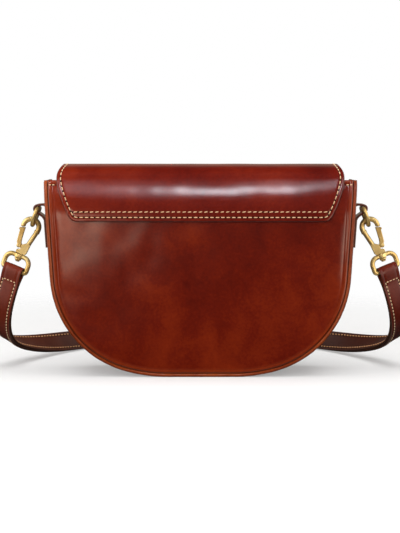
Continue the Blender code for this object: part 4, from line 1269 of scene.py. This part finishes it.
def ring_shell():
    down = np.array((math.sin(HANG), 0.0, -math.cos(HANG)))
    side = RING_HALF - RING_CORNER
    flat = np.concatenate([
        np.linspace((-side, 0.0), (side, 0.0), 8)[1:-1],
        arc((side, RING_CORNER), RING_CORNER, -QUARTER, 0.0, 8),
        arc((0.0, RING_SIDE), RING_HALF, 0.0, math.pi, 56),
        arc((-side, RING_CORNER), RING_CORNER, math.pi, math.pi + QUARTER, 8),
    ])
    points = RING_BAR + Y_AXIS * flat[:, :1] + down * flat[:, 1:]
    return rod(points, RING_WIRE_R, np.cross(down, Y_AXIS), True)


def post_shell():
    """The swivel post and its peened head."""
    head = BOSS_TOP - BOSS_LENGTH - GAP
    foot = head - POST_HEAD_T
    tip = foot - POST_TIP_T
    return lathe([
        (POST_R, ARM_FOOT[1]), (POST_R, head), (POST_HEAD_R - SOFT_RIM, head), (POST_HEAD_R, head - SOFT_RIM),
        (POST_HEAD_R, foot + SOFT_RIM), (POST_HEAD_R - SOFT_RIM, foot), (POST_TIP_R, foot - 0.0001),
        (POST_TIP_R, (foot + tip) / 2.0), (POST_TIP_R * 0.9, tip + 0.0004), (POST_TIP_R * 0.65, tip + 0.0001),
        (POST_TIP_R * 0.3, tip),
    ])


def eye_shells():
    """The D-shaped eye and the boss that turns on the post."""
    shoulder = BOSS_MIDDLE - EYE_SHOULDER_R
    reach, corner = EYE_HALF - EYE_SHOULDER_R, EYE_HALF - EYE_CORNER
    flat = np.concatenate([
        arc((reach, shoulder), EYE_SHOULDER_R, 0.0, QUARTER, 20),
        arc((-reach, shoulder), EYE_SHOULDER_R, QUARTER, math.pi, 20),
        arc((-corner, EYE_BAR + EYE_CORNER), EYE_CORNER, math.pi, math.pi + QUARTER, 8),
        arc((corner, EYE_BAR + EYE_CORNER), EYE_CORNER, -QUARTER, 0.0, 8),
    ])
    low, hole, edge = BOSS_TOP - BOSS_LENGTH, POST_R + BOSS_PLAY, 0.0006
    upper = arc((BOSS_R - edge, BOSS_TOP - edge), edge, QUARTER, 0.0, 4)
    lower = arc((BOSS_R - edge, low + edge), edge, 0.0, -QUARTER, 4)
    boss = lathe([(hole, BOSS_TOP), *upper, *lower, (hole, low)], closed=True)
    return [rod(hook_point(flat), EYE_WIRE_R, Y_AXIS, True), boss]


def build_brass():
    ring, eye = ring_shell(), eye_shells()
    base, tongue = np.array(BASE_POINTS) / 1000.0, np.array(TONGUE_POINTS) / 1000.0
    slabs = [rounded_slab(eased(base, 0.0012), BASE_HALF, 0.0008), rounded_slab(tongue, TONGUE_HALF, 0.0002)]
    hook = [arm_shell(), *slabs, post_shell()]
    for side, word in ((-1.0, "left"), (1.0, "right")):
        brass_piece("d_ring_" + word, side, [ring], "ring_" + word)
        brass_piece("hook_body_" + word, side, hook, "hook_" + word)
        brass_piece("swivel_eye_" + word, side, eye, "eye_" + word, SWIVEL)


build_brass()

# Looks of the solids that show
for name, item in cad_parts.items():
    if not item.hide_render:
        for entry in item.material_slots:
            entry.material = STEEL if name.startswith("gate_spring") or name.endswith("washer") else BRASS


# Room, light and camera

CAMERA_PLACE = (-0.0004, -1.234, 0.195)
CAMERA_LENS = 94.56
CAMERA_SHIFT = -0.2191
FLOOR_RADIUS = 1.6
FLOOR_SIDES = 96
FLOOR_FADE = (0.30, 0.75)
FLOOR_GLOW = 0.31
FLOOR_DARK = (0.575, 0.572, 0.569)
FLOOR_LIGHT = (0.60, 0.597, 0.594)
COLD = (0.90, 0.92, 1.0)
WARM = (1.0, 0.78, 0.60)
BRIGHT = (1.0, 0.96, 0.88)

# Panels to mirror: tint, elevation, azimuth, reach up, reach round, level, share at full level
GLOWS = (
    (COLD, 39.0, 1.8, 6.5, 5.5, 24.0, 0.1),
    (COLD, 43.0, 8.0, 7.0, 9.0, 5.0, 0.0),
    (COLD, 38.0, -6.0, 12.0, 14.0, 2.2, 0.1),
    (WARM, 2.0, -12.5, 10.0, 10.0, 5.0, 0.25),
    (WARM, 10.0, 180.0, 30.0, 90.0, 0.3, 0.35),
    (BRIGHT, 22.0, -75.0, 55.0, 60.0, 2.6, 0.3),
    (BRIGHT, 22.0, 75.0, 55.0, 60.0, 2.4, 0.3),
    (WARM, -2.0, 28.0, 14.0, 15.0, 4.8, 0.3),
    (BRIGHT, -90.0, 0.0, 52.0, 400.0, 0.5, 0.6),
)


def softbox(name, place, target, size, power):
    """A large soft lamp that nothing mirrors."""
    lamp = bpy.data.lights.new(name, "AREA")
    lamp.shape = "RECTANGLE"
    lamp.size, lamp.size_y = size
    lamp.energy = power
    item = placed(name, lamp)
    item.location = place
    item.rotation_mode = "QUATERNION"
    item.rotation_quaternion = (Vector(target) - Vector(place)).to_track_quat("-Z", "Y")
    item.visible_glossy = False


def build_floor():
    """A pale disc that fades into the white room."""
    mesh = bpy.data.meshes.new("floor")
    rim = arc((0.0, 0.0), FLOOR_RADIUS, 0.0, math.tau, FLOOR_SIDES)[:-1]
    mesh.from_pydata([(x, y, 0.0) for x, y in rim], [], [range(FLOOR_SIDES)])
    made, tree, shader = new_material("floor", Roughness=0.6, Emission_Strength=FLOOR_GLOW)
    place = add(tree, "ShaderNodeTexCoord").outputs["Object"]
    tone = noise_at(tree, place, 3.0, 2.0)
    feed(shader, Base_Color=ramp(tree, tone, (0.3, FLOOR_DARK), (0.7, FLOOR_LIGHT)))
    reach = add(tree, "ShaderNodeVectorMath", {0: place}, operation="LENGTH").outputs["Value"]
    clear = add(tree, "ShaderNodeBsdfTransparent").outputs[0]
    fade = {0: span(tree, reach, *FLOOR_FADE), 1: shader.outputs[0], 2: clear}
    both = add(tree, "ShaderNodeMixShader", fade).outputs[0]
    tree.links.new(both, tree.nodes["Material Output"].inputs["Surface"])
    mesh.materials.append(made)
    item = placed("floor", mesh)
    item.visible_glossy = False
    item.visible_diffuse = False


def glow(tree, toward, elevation, azimuth, height, width, level, core):
    """A soft panel in the mirrored room: level at its middle, none at its edges."""
    x, y, z = toward
    turned = math.radians(azimuth)
    ahead = calc(tree, "MULTIPLY_ADD", x, math.sin(turned), calc(tree, "MULTIPLY", y, -math.cos(turned)))
    aside = calc(tree, "MULTIPLY_ADD", x, math.cos(turned), calc(tree, "MULTIPLY", y, math.sin(turned)))
    off_round = calc(tree, "DIVIDE", calc(tree, "ARCTAN2", aside, ahead), math.radians(width))
    above = calc(tree, "SUBTRACT", calc(tree, "ARCSINE", z), math.radians(elevation))
    off_high = calc(tree, "DIVIDE", above, math.radians(height))
    return span(tree, length_of(tree, off_high, off_round), core, 1.0, level, 0.0)


def build_room():
    """White to the camera, soft to the leather, and a few glowing panels in a dim room to mirror."""
    world = bpy.data.worlds.new("studio")
    bpy.context.scene.world = world
    world.use_nodes = True
    world.cycles.sampling_method = "NONE"
    tree = world.node_tree
    tree.nodes.clear()
    ray = add(tree, "ShaderNodeLightPath").outputs
    around = add(tree, "ShaderNodeTexCoord").outputs["Generated"]
    toward = add(tree, "ShaderNodeSeparateXYZ", {0: around}).outputs
    seen = (0.03, 0.03, 0.03)
    for tint, *panel in GLOWS:
        scaled = {0: tint, "Scale": glow(tree, toward, *panel)}
        tinted = add(tree, "ShaderNodeVectorMath", scaled, operation="SCALE").outputs[0]
        seen = add(tree, "ShaderNodeVectorMath", {0: seen, 1: tinted}, operation="ADD").outputs[0]

    def shown(colour, strength):
        return add(tree, "ShaderNodeBackground", {"Color": colour, "Strength": strength}).outputs[0]

    def where(ray_kind, low, high):
        return add(tree, "ShaderNodeMixShader", {0: ray[ray_kind], 1: low, 2: high}).outputs[0]

    plain = (1.0, 1.0, 1.0, 1.0)
    shade = where("Is Glossy Ray", shown(plain, 0.07), shown(seen, 1.0))
    add(tree, "ShaderNodeOutputWorld", {0: where("Is Camera Ray", shade, shown(plain, 1.0))})
    softbox("overhead", (0.0, -0.15, 1.7), (0.0, 0.0, 0.0), (2.0, 1.6), 36.0)
    softbox("front", (-0.2, -1.7, 0.8), (0.0, 0.0, 0.1), (2.2, 1.4), 37.0)


def build_camera():
    """Level and a little above the bag, as in the photograph."""
    data = bpy.data.cameras.new("camera")
    data.lens = CAMERA_LENS
    data.sensor_width = 36.0
    data.shift_y = CAMERA_SHIFT
    item = placed("camera", data)
    item.location = CAMERA_PLACE
    item.rotation_euler = (QUARTER, 0.0, 0.0)
    bpy.context.scene.camera = item


bpy.context.scene.view_settings.view_transform = "Standard"
build_floor()
build_room()
build_camera()
